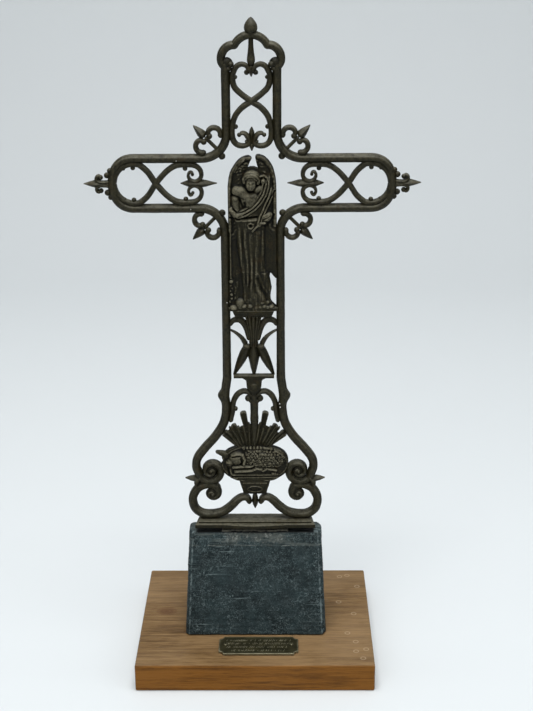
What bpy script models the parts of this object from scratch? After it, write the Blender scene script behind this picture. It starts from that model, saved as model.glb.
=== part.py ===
"""An openwork iron cross, cast in one piece, bedded on a slate block on an oak board with a brass plaque.

Metres, +Z up, front towards -Y. The origin is the middle of the board's underside.
"""

import math

import bmesh
import bpy
import numpy as np

# Oak board
BOARD_WIDTH = 0.184
BOARD_DEPTH = 0.152
BOARD_THICKNESS = 0.022
BOARD_EASING = 0.0012

# Slate block: a wedge with rounded upright edges
BLOCK_FOOT_WIDTH = 0.112
BLOCK_FOOT_DEPTH = 0.064
BLOCK_TOP_WIDTH = 0.105
BLOCK_TOP_DEPTH = 0.019
BLOCK_HEIGHT = 0.080
BLOCK_CORNER = 0.0045
BLOCK_EASING = 0.0016
SEAT_GAP = 0.0003

# Brass plaque and its pins
PLAQUE_WIDTH = 0.062
PLAQUE_DEPTH = 0.025
PLAQUE_THICKNESS = 0.0016
PLAQUE_SCOOP = 0.0036
PLAQUE_CLEARANCE = 0.0045
PLAQUE_SHIFT = 0.0026
PIN_INSET = 0.0052
PIN_HEAD_RADIUS = 0.0013
PIN_HEAD_HEIGHT = 0.0008
PIN_SHANK_RADIUS = 0.0006
PIN_LENGTH = 0.009

# Foot plate of the casting
PAD_WIDTH = 0.050
PAD_DEPTH = 0.0165
PAD_HEIGHT = 0.0028
PAD_DISH = 0.0022
PLATE_WIDTH = 0.0945
PLATE_DEPTH = 0.0195
PLATE_THICKNESS = 0.0034
PLATE_BULGE = 0.0024
PLATE_TAPER = 0.0029
STEP_WIDTH = 0.089
STEP_DEPTH = 0.0145
STEP_THICKNESS = 0.0014

# Outline of the casting
SHAFT_HEIGHT = 0.2696
HEAD_HEIGHT = 0.1186
ARM_REACH = 0.1232
LOWER_RAIL_X = 0.0204
UPPER_RAIL_X = 0.0183
ARM_RAIL_Z = 0.01845
SHOULDER_RADIUS = 0.0181
FINIAL_REACH = 0.0210
ARM_END_ROUND = 0.0165

# Bars of the casting
RAIL_WIDTH = 0.0064
RAIL_DEPTH = 0.0070
SCROLL_WIDTH = 0.0068
INNER_WIDTH = 0.0043
INNER_DEPTH = 0.0052
CURL_WIDTH = 0.0038
CURL_RADIUS = 0.0057
LEAF_WIDTH = 0.0056
LEAF_DEPTH = 0.0048
EYE_RADIUS = 0.0056
KNOB_RADIUS = 0.0026
SMALL_KNOB_RADIUS = 0.0019
KNOB_DEPTH = 0.0048
BUD_RADIUS = 0.0045
SPINDLE_RADIUS = 0.0030
FOOT_BED = 0.0008
LIFT = 0.0009
RELIEF_DEPTH = 0.0086
RELIEF_PLATE = 0.0034

# Marks on the drawing that the ornament is laid out on, in drawing units of about a millimetre:
# the drawing is stretched so that its marks meet the outline above.
DRAWN_FOOT = 110.2
DRAWN_AXIS = 379.8
DRAWN_TIP = 498.4
DRAWN_ARM_END = 102.2
DRAWN_REACH = 123.2
DRAWN_LOWER_RAIL = 20.4
DRAWN_UPPER_RAIL = 18.3
DRAWN_ARM_RAIL = 18.45

BLOCK_BASE_Z = BOARD_THICKNESS + SEAT_GAP
PAD_Z = BLOCK_BASE_Z + BLOCK_HEIGHT + SEAT_GAP
PLATE_Z = PAD_Z + PAD_HEIGHT
FOOT_Z = PLATE_Z + PLATE_THICKNESS + STEP_THICKNESS
AXIS_Z = FOOT_Z + SHAFT_HEIGHT
BACK_Y = RAIL_DEPTH / 2
ARM_END_X = ARM_REACH - FINIAL_REACH

# How coarse the casting's facets are: points to a span of a curve, degrees to a step of an arc, the share
# of a bar's depth that a facet may stray by, and the degrees below which two facets count as one
CURVE_STEPS = 6
ARC_STEP = 10
FACET_SHARE = 0.1
FLAT_ANGLE = 2.0

# Sections as shares of a bar's width and depth, from the flat back round the front
RAIL_SECTION = [(-0.5, 0.0), (-0.5, 0.5), (-0.26, 1.0), (0.26, 1.0), (0.5, 0.5), (0.5, 0.0)]
RIB_SECTION = [(-0.5, 0.0), (-0.3, 1.0), (0.3, 1.0), (0.5, 0.0)]
LEAF_SECTION = [(-0.5, 0.0), (0.0, 1.0), (0.5, 0.0)]


def clear_scene():
    for item in list(bpy.data.objects):
        bpy.data.objects.remove(item, do_unlink=True)


def material(name, colour, roughness, metallic):
    made = bpy.data.materials.new(name)
    made.use_nodes = True
    shader = made.node_tree.nodes["Principled BSDF"]
    shader.inputs["Base Color"].default_value = (*colour, 1.0)
    shader.inputs["Roughness"].default_value = roughness
    shader.inputs["Metallic"].default_value = metallic
    return made


def finish_mesh(name, bm, made_of=None, smooth=True):
    """Turns the bmesh into an object, its faces facing out and its round sides smooth."""
    bmesh.ops.recalc_face_normals(bm, faces=bm.faces)
    mesh = bpy.data.meshes.new(name)
    bm.to_mesh(mesh)
    bm.free()
    if smooth:
        mesh.shade_smooth()
        mesh.set_sharp_from_angle(angle=math.radians(35))
    if made_of:
        mesh.materials.append(made_of)
    made = bpy.data.objects.new(name, mesh)
    bpy.context.scene.collection.objects.link(made)
    return made


# The drawing, laid on the outline


def on_shaft(x, z):
    return (x * LOWER_RAIL_X / DRAWN_LOWER_RAIL,
            FOOT_Z + (z - DRAWN_FOOT) * SHAFT_HEIGHT / (DRAWN_AXIS - DRAWN_FOOT))


def on_head(x, z):
    return (x * UPPER_RAIL_X / DRAWN_UPPER_RAIL,
            AXIS_Z + (z - DRAWN_AXIS) * HEAD_HEIGHT / (DRAWN_TIP - DRAWN_AXIS))


def on_arm(x, z):
    """Inside the arm the drawing is stretched to its end, and past the end to the finial's tip."""
    if x < DRAWN_ARM_END:
        along = x * ARM_END_X / DRAWN_ARM_END
    else:
        along = ARM_END_X + (x - DRAWN_ARM_END) * FINIAL_REACH / (DRAWN_REACH - DRAWN_ARM_END)
    return along, AXIS_Z + (z - DRAWN_AXIS) * ARM_RAIL_Z / DRAWN_ARM_RAIL


def laid(place, points):
    return [place(x, z) for x, z in points]


def through(points):
    """A smooth line through the points (Catmull-Rom)."""
    p = np.array([points[0], *points, points[-1]], float)
    line = []
    for a, b, c, d in zip(p, p[1:], p[2:], p[3:]):
        for t in np.arange(CURVE_STEPS) / CURVE_STEPS:
            line.append(0.5 * (2 * b + (c - a) * t + (2 * a - 5 * b + 4 * c - d) * t * t
                               + (3 * b - a - 3 * c + d) * t ** 3))
    return [tuple(q) for q in line] + [tuple(points[-1])]


def arc(x, z, radius, start, end, end_radius=None, steps=None):
    """Part of a circle, or of a spiral where the end radius differs. Angles in degrees from +X towards +Z."""
    last = radius if end_radius is None else end_radius
    line = []
    for t in np.linspace(0, 1, (steps or round(abs(end - start) / ARC_STEP)) + 1):
        a = math.radians(start + (end - start) * t)
        r = radius + (last - radius) * t
        line.append((x + r * math.cos(a), z + r * math.sin(a)))
    return line


def mirrored(line):
    return [(-x, z) for x, z in line]


def shares(size, *parts):
    """A size multiplied by each of these."""
    return [size * part for part in parts]


def faceted(rows, error):
    """Keeps only the rows (place, width and depth) that a bar needs to stay this close to its true form."""
    chord = rows[-1] - rows[0]
    chord /= np.linalg.norm(chord)
    away = rows - rows[0]
    off = np.linalg.norm(away - np.outer(away @ chord, chord), axis=1)
    far = int(np.argmax(off))
    if off[far] <= error:
        return [rows[0], rows[-1]]
    return faceted(rows[:far + 1], error)[:-1] + faceted(rows[far:], error)


# Solids of the casting


def spread(values, line):
    """A size for each point of the line, from one for all, one for each, or a few spread over its length."""
    few = np.atleast_1d(np.array(values, float))
    if len(few) == len(line):
        return few
    run = np.concatenate([[0], np.cumsum(np.linalg.norm(np.diff(line, axis=0), axis=1))])
    return np.interp(run / run[-1] * (len(few) - 1), np.arange(len(few)), few)


def bar(line, width, depth, back=BACK_Y, section=RAIL_SECTION):
    """Carries a flat-backed section along a line in the plane of the cross."""
    line = np.array(line, float)
    rows = np.column_stack([line, spread(width, line), spread(depth, line)])
    rows = np.array(faceted(rows, FACET_SHARE * rows[:, 2].max()))
    p = rows[:, :2]
    step = np.diff(p, axis=0)
    step /= np.linalg.norm(step, axis=1)[:, None]
    along = np.vstack([step[0], step[:-1] + step[1:], step[-1]])
    along /= np.linalg.norm(along, axis=1)[:, None]
    mitre = np.ones(len(p))
    mitre[1:-1] = np.clip((along[1:-1] * step[1:]).sum(1), 0.6, 1)
    across = np.stack([-along[:, 1], along[:, 0]], 1) / mitre[:, None]
    bm = bmesh.new()
    rings = []
    for (x, z, wide, deep), side in zip(rows, across):
        rings.append([bm.verts.new((x + side[0] * n * wide, back - y * deep, z + side[1] * n * wide))
                      for n, y in section])
    for first, second in zip(rings, rings[1:]):
        for k in range(len(section)):
            j = (k + 1) % len(section)
            bm.faces.new((first[k], first[j], second[j], second[k]))
    bm.faces.new(rings[0])
    bm.faces.new(rings[-1])
    return finish_mesh("bar", bm)


def bead(centre, radius, depth=KNOB_DEPTH, back=BACK_Y - LIFT, sides=5):
    """A knob: an ellipsoid that starts at the back plane."""
    half = depth / 2
    bm = bmesh.new()
    bmesh.ops.create_uvsphere(bm, u_segments=sides, v_segments=3, radius=1.0)
    for vert in bm.verts:
        x, y, z = vert.co
        vert.co = (centre[0] + x * radius, back - half + z * half, centre[1] + y * radius)
    return finish_mesh("bead", bm)


def turned(centre_x, centre_y, profile, sides=8):
    """A solid turned about an upright line, from its (height, radius) steps."""
    bm = bmesh.new()
    rings = []
    for z, radius in profile:
        rings.append([bm.verts.new((centre_x + radius * math.cos(a), centre_y + radius * math.sin(a), z))
                      for a in np.linspace(0, 2 * math.pi, sides, endpoint=False)])
    for first, second in zip(rings, rings[1:]):
        for k in range(sides):
            j = (k + 1) % sides
            bm.faces.new((first[k], first[j], second[j], second[k]))
    bm.faces.new(rings[0])
    bm.faces.new(rings[-1])
    return finish_mesh("turned", bm)


def slab(outline, front, back):
    """A flat plate in the plane of the cross, between two depths."""
    bm = bmesh.new()
    near = [bm.verts.new((x, front, z)) for x, z in outline]
    far = [bm.verts.new((x, back, z)) for x, z in outline]
    bm.faces.new(near)
    bm.faces.new(far)
    for k in range(len(outline)):
        j = (k + 1) % len(outline)
        bm.faces.new((near[k], near[j], far[j], far[k]))
    return finish_mesh("slab", bm, smooth=False)


def upright(outline, low, high):
    """A block of this plan between two heights."""
    bm = bmesh.new()
    bottom = [bm.verts.new((x, y, low)) for x, y in outline]
    top = [bm.verts.new((x, y, high)) for x, y in outline]
    bm.faces.new(bottom)
    bm.faces.new(top)
    for k in range(len(outline)):
        j = (k + 1) % len(outline)
        bm.faces.new((bottom[k], bottom[j], top[j], top[k]))
    return finish_mesh("block", bm, smooth=False)


def softened(heights):
    """Each height averaged with its neighbours, so that a coarse grid carries no steps."""
    for turn in range(2):
        padded = np.vstack([heights[:1], heights, heights[-1:]])
        heights = ((padded[:-2] + 2 * padded[1:-1] + padded[2:]) / 4).T
    return heights


def relief(levels, left, right, columns, carving, place, back):
    """A carved slab: rows at the levels, columns from the left edge to the right, a flat back."""
    x = np.array([np.linspace(left(z), right(z), columns + 1) for z in levels])
    z = np.repeat(np.array(levels)[:, None], columns + 1, axis=1)
    bm = bmesh.new()
    rows = []
    for across, up, height in zip(x, z, softened(carving(x, z))):
        places = [place(a, b) for a, b in zip(across, up)]
        rows.append([bm.verts.new((px, back - h, pz)) for (px, pz), h in zip(places, height)])
    edges = []
    for row in rows:
        edges.append([bm.verts.new((row[k].co.x, back, row[k].co.z)) for k in (0, -1)])
    for (lower, upper), (low_edge, high_edge) in zip(zip(rows, rows[1:]), zip(edges, edges[1:])):
        for k in range(columns):
            bm.faces.new((lower[k], lower[k + 1], upper[k + 1], upper[k]))
        bm.faces.new((low_edge[0], low_edge[1], high_edge[1], high_edge[0]))
        bm.faces.new((low_edge[0], lower[0], upper[0], high_edge[0]))
        bm.faces.new((low_edge[1], lower[-1], upper[-1], high_edge[1]))
    for row, edge in ((rows[0], edges[0]), (rows[-1], edges[-1])):
        bm.faces.new([edge[0], *row, edge[1]])
    return finish_mesh("relief", bm)


def both(make, line, *sizes, **options):
    """The same solid on the right and, mirrored, on the left."""
    return [make(line, *sizes, **options), make(mirrored(line), *sizes, **options)]


# Carving, as heights over the back in shares of the relief's depth


def dome(x, z, centre, across, up, height):
    """A rounded swelling with this half width and half height."""
    r = ((x - centre[0]) / across) ** 2 + ((z - centre[1]) / up) ** 2
    return height * np.clip(1 - r * r, 0, 1)


def ridge(x, z, line, half_width, height):
    """A rounded rib along a line."""
    nearest = np.full(x.shape, 1e9)
    for (ax, az), (bx, bz) in zip(line, line[1:]):
        length = (bx - ax) ** 2 + (bz - az) ** 2
        t = np.clip(((x - ax) * (bx - ax) + (z - az) * (bz - az)) / length, 0, 1)
        nearest = np.minimum(nearest, np.hypot(x - ax - t * (bx - ax), z - az - t * (bz - az)))
    return height * np.clip(1 - (nearest / half_width) ** 2, 0, 1)


# The winged figure, drawn from its foot at 283 up to its wing tips at 399.5
FIGURE_FOOT = 283.0
FIGURE_WAIST = 345.0
FIGURE_ARCH = 378.0
FIGURE_TOP = 399.5
FIGURE_HALF = 17.7
GOWN_ROWS = 8
BODY_ROWS = 11
ARCH_ROWS = 8
FIGURE_COLUMNS = 16


def figure_edge(z):
    """Half the width of the figure's slab: straight sides that reach under the rails, then an arch."""
    if z < FIGURE_WAIST:
        return FIGURE_HALF + 1.0
    if z < FIGURE_ARCH:
        return FIGURE_HALF
    rise = (z - FIGURE_ARCH) / (FIGURE_TOP - FIGURE_ARCH)
    return FIGURE_HALF * math.sqrt(max(1 - rise ** 2, 0.02))


def figure_right(z):
    """The hem stands free of the right rail, with a gap beside it."""
    if 286 < z < 309:
        return 12.6 + 1.6 * max(0, 291 - z) / 5
    return figure_edge(z)


def gown(x, z):
    """The long skirt: a rounded form with four broad folds that fan out to a flared hem."""
    level = [283, 291, 300, 308, 316, 325, 343, 352]
    left = np.interp(z, level, [-10, -8.8, -8.6, -9, -10, -11.6, -12.8, -13.2])
    right = np.interp(z, level, [13.2, 12.4, 13, 11.8, 9.6, 8.6, 9.2, 9.6])
    t = np.clip((2 * x - left - right) / (right - left), -1.2, 1.2)
    body = np.clip(1 - t * t, 0, 1) ** 0.6
    folds = 0.12 * np.cos(2 * math.pi * (1.7 * t + 0.1)) * np.clip((354 - z) / 20, 0, 1)
    return 0.36 + (0.40 + folds) * body


def figure_carving(x, z):
    """Heights of the whole figure in shares of the relief's depth."""
    wing = [(15.6, 343), (15.8, 368), (14.4, 384), (9.8, 393.4), (4.0, 397.2)]
    forms = [
        np.full(x.shape, RELIEF_PLATE / RELIEF_DEPTH),
        np.where(z < 356, gown(x, z), 0),
        ridge(x, z, wing, 3.2, 0.70),
        ridge(x, z, mirrored(wing), 3.2, 0.70),
        ridge(x, z, [(13.6, 376), (13.6, 350), (12.6, 312)], 2.8, 0.60),
        dome(x, z, (-1.5, 364), 12.5, 17, 0.84),
        ridge(x, z, [(5.0, 374), (-7.0, 376), (-12.6, 374)], 4.4, 0.94),
        ridge(x, z, [(-13.0, 376), (-12.6, 386), (-10.8, 390)], 3.2, 0.80),
        dome(x, z, (-11.4, 363.5), 5.4, 9.0, 0.88),
        dome(x, z, (-0.6, 382.4), 7.4, 10.2, 1.16),
        ridge(x, z, [(10.4, 383), (7.8, 369), (0.5, 360.4), (-7.5, 356.4), (-13.0, 356)], 3.0, 1.0),
        ridge(x, z, [(11.8, 357), (7.6, 353), (3.0, 348.4)], 3.4, 1.0),
        np.where(z < 290, 0.66 + 0.08 * np.cos(x * 0.9 + z), 0),
    ]
    return np.maximum.reduce(forms) * RELIEF_DEPTH


def winged_figure():
    """The figure's slab, with the gap between the wing tips cut out of it."""
    skirt = np.linspace(FIGURE_FOOT, FIGURE_WAIST, GOWN_ROWS, endpoint=False)
    body = np.linspace(FIGURE_WAIST, FIGURE_ARCH, BODY_ROWS)
    arched = FIGURE_ARCH + (FIGURE_TOP - FIGURE_ARCH) * np.sin(np.linspace(0.14, 1.42, ARCH_ROWS))
    slab_form = relief([*skirt, *body, *arched], lambda z: -figure_edge(z), figure_right, FIGURE_COLUMNS,
                       figure_carving, on_shaft, BACK_Y - LIFT)
    notch = [(-1.5, 406), (1.5, 406), (1.9, 397.2), (3.5, 390.4), (-3.3, 390.4), (-2.8, 395.2)]
    cutter = slab(laid(on_shaft, notch), -2 * RELIEF_DEPTH, 2 * RELIEF_DEPTH)
    return carved(slab_form, [cutter], "DIFFERENCE")


# The lamb medallion
LAMB_MIDDLE = 157.6
LAMB_HALF = 26.3
LAMB_RISE = 15.4
LAMB_ROWS = 9
LAMB_COLUMNS = 12


def lamb_edge(z):
    rise = min(abs(z - LAMB_MIDDLE) / LAMB_RISE, 1)
    return LAMB_HALF * max(1 - rise ** 2.6, 0.05) ** (1 / 2.4)


def lamb_carving(x, z):
    """A lamb lying on a closed book, its head to the left."""
    edge = np.clip(1 - np.abs((z - LAMB_MIDDLE) / LAMB_RISE) ** 3, 0, 1)
    forms = [
        0.42 + 0.18 * edge,
        dome(x, z, (6, 163), 22, 11.5, 0.98),
        dome(x, z, (-15, 164), 9, 8.5, 1.0),
        dome(x, z, (-19, 159), 6, 6, 0.90),
        ridge(x, z, [(-14, 155), (2, 153.5), (12, 155)], 3.0, 0.94),
        ridge(x, z, [(-19, 148.4), (18, 148.8)], 2.8, 0.84),
    ]
    return np.maximum.reduce(forms) * RELIEF_DEPTH


def lamb_medallion():
    levels = LAMB_MIDDLE + LAMB_RISE * np.sin(np.linspace(-1.5, 1.5, LAMB_ROWS + 1))
    body = relief(levels, lambda z: -lamb_edge(z), lamb_edge, LAMB_COLUMNS, lamb_carving, on_shaft,
                  BACK_Y - LIFT / 2)
    tab = bar(laid(on_shaft, [(-21, 163.5), (-27, 166), (-30.6, 166.6)]), shares(LEAF_WIDTH, 1.05, 0.8, 0.18),
              shares(LEAF_DEPTH, 0.95, 0.65, 0.25), back=BACK_Y - 2 * LIFT, section=LEAF_SECTION)
    pedestal = slab(laid(on_shaft, [(-12.2, 144), (12.2, 144), (9.4, 132.2), (-9.4, 132.2)]),
                    BACK_Y - RAIL_DEPTH * 0.9, BACK_Y - 1.5 * LIFT)
    ring = bar(laid(on_shaft, arc(0, 134.5, 6.0, 25, 155)), CURL_WIDTH / 2, RAIL_DEPTH * 1.05,
               back=BACK_Y - 1.7 * LIFT, section=RIB_SECTION)
    return [body, tab, pedestal, ring]


# The frame


def shoulder(rail_x, up):
    """The middle of the arc that turns a rail into an arm."""
    return rail_x + SHOULDER_RADIUS, AXIS_Z + up * (ARM_RAIL_Z + SHOULDER_RADIUS)


def frame_line():
    """The right-hand rail: down from the cap, out along the arm, back, down the shaft and into its volute."""
    upper = shoulder(UPPER_RAIL_X, 1)
    lower = shoulder(LOWER_RAIL_X, -1)
    line = [on_head(DRAWN_UPPER_RAIL, 466.5)]
    line += arc(*upper, SHOULDER_RADIUS, 180, 270)
    for angle in np.linspace(90, -90, 19):
        c, s = math.cos(math.radians(angle)), math.sin(math.radians(angle))
        line.append((ARM_END_X - ARM_END_ROUND + ARM_END_ROUND * abs(c) ** 0.88,
                     AXIS_Z + ARM_RAIL_Z * math.copysign(abs(s) ** 0.88, s)))
    line += arc(*lower, SHOULDER_RADIUS, 90, 180)
    flare = [(20.6, 228), (22.4, 214), (21.6, 204), (23.4, 192), (29.8, 180.6), (38.4, 170.4),
             (44.4, 162), (45.9, 155)]
    line += laid(on_shaft, through(flare))
    line += laid(on_shaft, arc(34.4, 151.2, 10.6, -22, -285, end_radius=5.6))
    return line


def foot_scroll_line():
    """The right-hand scroll under the volute, down to its bed on the foot plate and up to the middle."""
    drawn = [(28.2, 133), (32, 138), (38.4, 138.8), (45, 135.4), (49.2, 127), (47.6, 118.4),
             (41.6, 113.6), (34, 113.1), (26, 114.8), (19.6, 119.4), (13.6, 126), (8.6, 130.6), (3.2, 131.4)]
    line = laid(on_shaft, through(drawn))
    drop = min(z for x, z in line) - (FOOT_Z + SCROLL_WIDTH / 2 - FOOT_BED)
    return [(x, z - drop) for x, z in line]


def frame():
    """Rails, volutes and foot scrolls, which carry everything else."""
    rail_widths = [RAIL_WIDTH] * 8 + shares(SCROLL_WIDTH, 1.0, 0.85)
    solids = both(bar, frame_line(), rail_widths, RAIL_DEPTH)
    solids += both(bar, foot_scroll_line(), shares(SCROLL_WIDTH, 0.8, 1.0, 1.0, 1.0), RAIL_DEPTH * 1.02,
                   back=BACK_Y + LIFT / 3)
    spike = laid(on_shaft, [(38, 142.2), (46, 143.2), (50, 143.4), (54.8, 143.5)])
    solids += both(bar, spike, shares(LEAF_WIDTH, 1.0, 1.08, 0.85, 0.2), shares(LEAF_DEPTH, 1.2, 1.1, 0.8, 0.2),
                   section=LEAF_SECTION)
    for side in (1, -1):
        for eye in ((34.0, 151.4), (33.4, 131.4)):
            solids.append(bead(on_shaft(side * eye[0], eye[1]), EYE_RADIUS, RAIL_DEPTH * 1.1, sides=8))
        solids.append(bead(on_shaft(side * 23.2, 214), RAIL_WIDTH * 0.68, RAIL_DEPTH * 0.9, sides=4))
        for (x, z), angle in ((shoulder(UPPER_RAIL_X, 1), 228), (shoulder(LOWER_RAIL_X, -1), 138)):
            knob = arc(x, z, SHOULDER_RADIUS + RAIL_WIDTH * 0.6, angle, angle, steps=1)[0]
            solids.append(bead((side * knob[0], knob[1]), KNOB_RADIUS))
    return solids


def cap():
    """The three-lobed arch on the head's rails, its curled ends, its bud and the spindle under it."""
    middle = laid(on_head, arc(0, 472.9, 13.1, 34, 146))
    lobe = laid(on_head, arc(13.4, 471.8, 7.6, 112, -62))
    solids = [bar(middle, RAIL_WIDTH * 0.83, RAIL_DEPTH * 0.96, back=BACK_Y + LIFT / 4)]
    solids += both(bar, lobe, shares(RAIL_WIDTH, 0.8, 0.97, 0.9), RAIL_DEPTH * 0.94, back=BACK_Y + LIFT / 8)
    solids += [bead(on_head(side * 16.6, 466.6), RAIL_WIDTH * 0.6, RAIL_DEPTH, sides=6) for side in (1, -1)]
    bud = [(487.4, 0.80), (488.6, 0.97), (490.6, 1.05), (492.6, 1.0), (494.8, 0.77), (496.8, 0.45), (498.4, 0.1)]
    spindle = [(486.0, 0.57), (478.5, 0.7), (473.5, 0.9), (469.8, 1.0), (467.2, 0.8), (465.4, 0.4), (463.5, 0.33)]
    for profile, radius in ((bud, BUD_RADIUS), (spindle, SPINDLE_RADIUS)):
        solids.append(turned(0, BACK_Y - RAIL_DEPTH / 2, [(on_head(0, z)[1], r * radius) for z, r in profile]))
    return solids


def head_ornament():
    """Two looped bars that cross between the head's rails, with a trefoil above and a lily below."""
    loop = [(0.8, 461.8), (3.4, 464.6), (7.0, 465.4), (10.8, 463.0), (13.3, 457.6), (12.3, 450.2),
            (7.6, 444.9), (0.0, 439.3), (-6.4, 435.2), (-11.6, 429.0), (-14.0, 421.0), (-13.9, 413.4),
            (-11.6, 409.0), (-7.4, 407.3), (-3.2, 408.2), (-0.9, 411.4)]
    line = laid(on_head, through(loop))
    drop = laid(on_head, [(0, 464.6), (0, 461.0), (0, 457.4)])
    lily = laid(on_head, [(0, 404.0), (0, 408.5), (0, 412.0), (0, 416.6), (0, 420.6)])
    petal = laid(on_head, through([(0.2, 409.6), (3.0, 414.6), (6.0, 415.9), (8.7, 414.8)]))
    solids = [bar(line, INNER_WIDTH, INNER_DEPTH, back=BACK_Y - LIFT, section=RIB_SECTION),
              bar(mirrored(line), INNER_WIDTH, INNER_DEPTH, back=BACK_Y - LIFT * 1.1, section=RIB_SECTION),
              bar(drop, shares(LEAF_WIDTH, 0.8, 0.72, 0.15), shares(LEAF_DEPTH, 1.1, 0.9, 0.3),
                  back=BACK_Y - LIFT * 1.3, section=LEAF_SECTION),
              bar(lily, shares(LEAF_WIDTH, 0.2, 0.72, 0.54, 0.72, 0.15),
                  shares(LEAF_DEPTH, 0.4, 1.2, 1.05, 0.95, 0.3), back=BACK_Y - LIFT * 1.4, section=LEAF_SECTION)]
    solids += both(bar, petal, shares(LEAF_WIDTH, 0.75, 0.46, 0.36), LEAF_DEPTH * 0.9, back=BACK_Y - LIFT * 1.6,
                   section=RIB_SECTION)
    for side in (1, -1):
        for x, z in ((3.6, 461.6), (11.6, 456.6), (11.5, 421.2)):
            solids.append(bead(on_head(side * x, z), SMALL_KNOB_RADIUS, KNOB_DEPTH * 0.85, sides=4))
    return solids


def arm_ornament(side):
    """The looped bars, volutes, long spike and leafy finial of one arm."""
    def placed(points):
        return [(side * x, z) for x, z in laid(on_arm, points)]

    def flipped(points):
        return [(x, 2 * DRAWN_AXIS - z) for x, z in points]

    loop = through([(43.4, 386.4), (45.0, 388.4), (46.4, 385.4), (45.0, 382.6), (41.8, 381.3), (38.4, 382.8),
                    (36.9, 386.0), (37.9, 390.0), (41.0, 392.8), (46, 393.7), (55, 393.2), (62.4, 388.6),
                    (70.2, 379.8), (75.6, 371.6), (80.4, 366.6)])
    loop += arc(86.2, DRAWN_AXIS, 14.7, -100, 2)
    widths = shares(CURL_WIDTH, 0.55, 0.8, 1.0) + [INNER_WIDTH] * 7
    solids = [bar(placed(loop), widths, INNER_DEPTH, back=BACK_Y - LIFT, section=RIB_SECTION),
              bar(placed(flipped(loop)), widths, INNER_DEPTH, back=BACK_Y - LIFT * 1.1, section=RIB_SECTION)]
    spike = [(25.8, DRAWN_AXIS), (37.4, DRAWN_AXIS), (44.0, DRAWN_AXIS), (52.2, DRAWN_AXIS)]
    finial = [(DRAWN_ARM_END, DRAWN_AXIS), (114.6, DRAWN_AXIS), (118.4, DRAWN_AXIS), (DRAWN_REACH, DRAWN_AXIS)]
    for points, parts, section in ((spike, (0.13, 1.1, 1.05, 0.13), RIB_SECTION),
                                   (finial, (1.0, 0.96, 0.64, 0.13), LEAF_SECTION)):
        solids.append(bar(placed(points), shares(LEAF_WIDTH, *parts), shares(LEAF_DEPTH, *parts),
                          back=BACK_Y - LIFT * 1.4, section=section))
    knobs = [((112.6, 382.8), KNOB_RADIUS, 5), ((105.2, 387.2), SMALL_KNOB_RADIUS * 1.1, 4),
             ((103.2, 390.4), SMALL_KNOB_RADIUS, 4), ((48.6, 391.0), SMALL_KNOB_RADIUS, 4),
             ((86.6, 391.7), SMALL_KNOB_RADIUS, 4)]
    for (x, z), radius, sides in knobs:
        for point in ((x, z), (x, 2 * DRAWN_AXIS - z)):
            solids.append(bead(placed([point])[0], radius, sides=sides, back=BACK_Y - LIFT * 1.2))
    return solids


def corner_scroll(side, up):
    """Two C-scrolls that meet under a leaf, outside one inner corner, with a stem from the rail."""
    rail_x = UPPER_RAIL_X if up > 0 else LOWER_RAIL_X
    inset = (SHOULDER_RADIUS - CURL_RADIUS * 1.963) / math.sqrt(2)
    centre = (rail_x + SHOULDER_RADIUS - inset, ARM_RAIL_Z + SHOULDER_RADIUS - inset)
    half = CURL_RADIUS * 0.80

    def placed(points):
        return [(side * (centre[0] + x), AXIS_Z + up * (centre[1] + z)) for x, z in points]

    upper = arc(-half, half, CURL_RADIUS, 205, 22)
    lower = [(z, x) for x, z in upper]
    solids = []
    for line, lift in ((upper, 1.0), (lower, 1.1)):
        solids.append(bar(placed(line), shares(CURL_WIDTH, 1.0, 1.0, 0.9), INNER_DEPTH,
                          back=BACK_Y - LIFT * lift, section=RIB_SECTION))
        end = placed([(line[-1][0] * 0.80, line[-1][1] * 0.80)])[0]
        solids.append(bead(end, CURL_WIDTH * 0.72, INNER_DEPTH, back=BACK_Y - LIFT * lift))
    root = CURL_RADIUS * 0.42
    stem = [(-CURL_RADIUS * 1.15, -CURL_RADIUS * 1.15), (root, root)]
    leaf = [(root + LEAF_WIDTH * part, root + LEAF_WIDTH * part) for part in (0, 0.35, 1.45)]
    solids.append(bar(placed(stem), CURL_WIDTH * 0.74, INNER_DEPTH * 0.7, back=BACK_Y - LIFT * 1.6,
                      section=RIB_SECTION))
    solids.append(bar(placed(leaf), shares(LEAF_WIDTH, 0.95, 1.15, 0.15), shares(LEAF_DEPTH, 1.0, 1.0, 0.25),
                      back=BACK_Y - LIFT * 1.3, section=LEAF_SECTION))
    return solids


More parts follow.
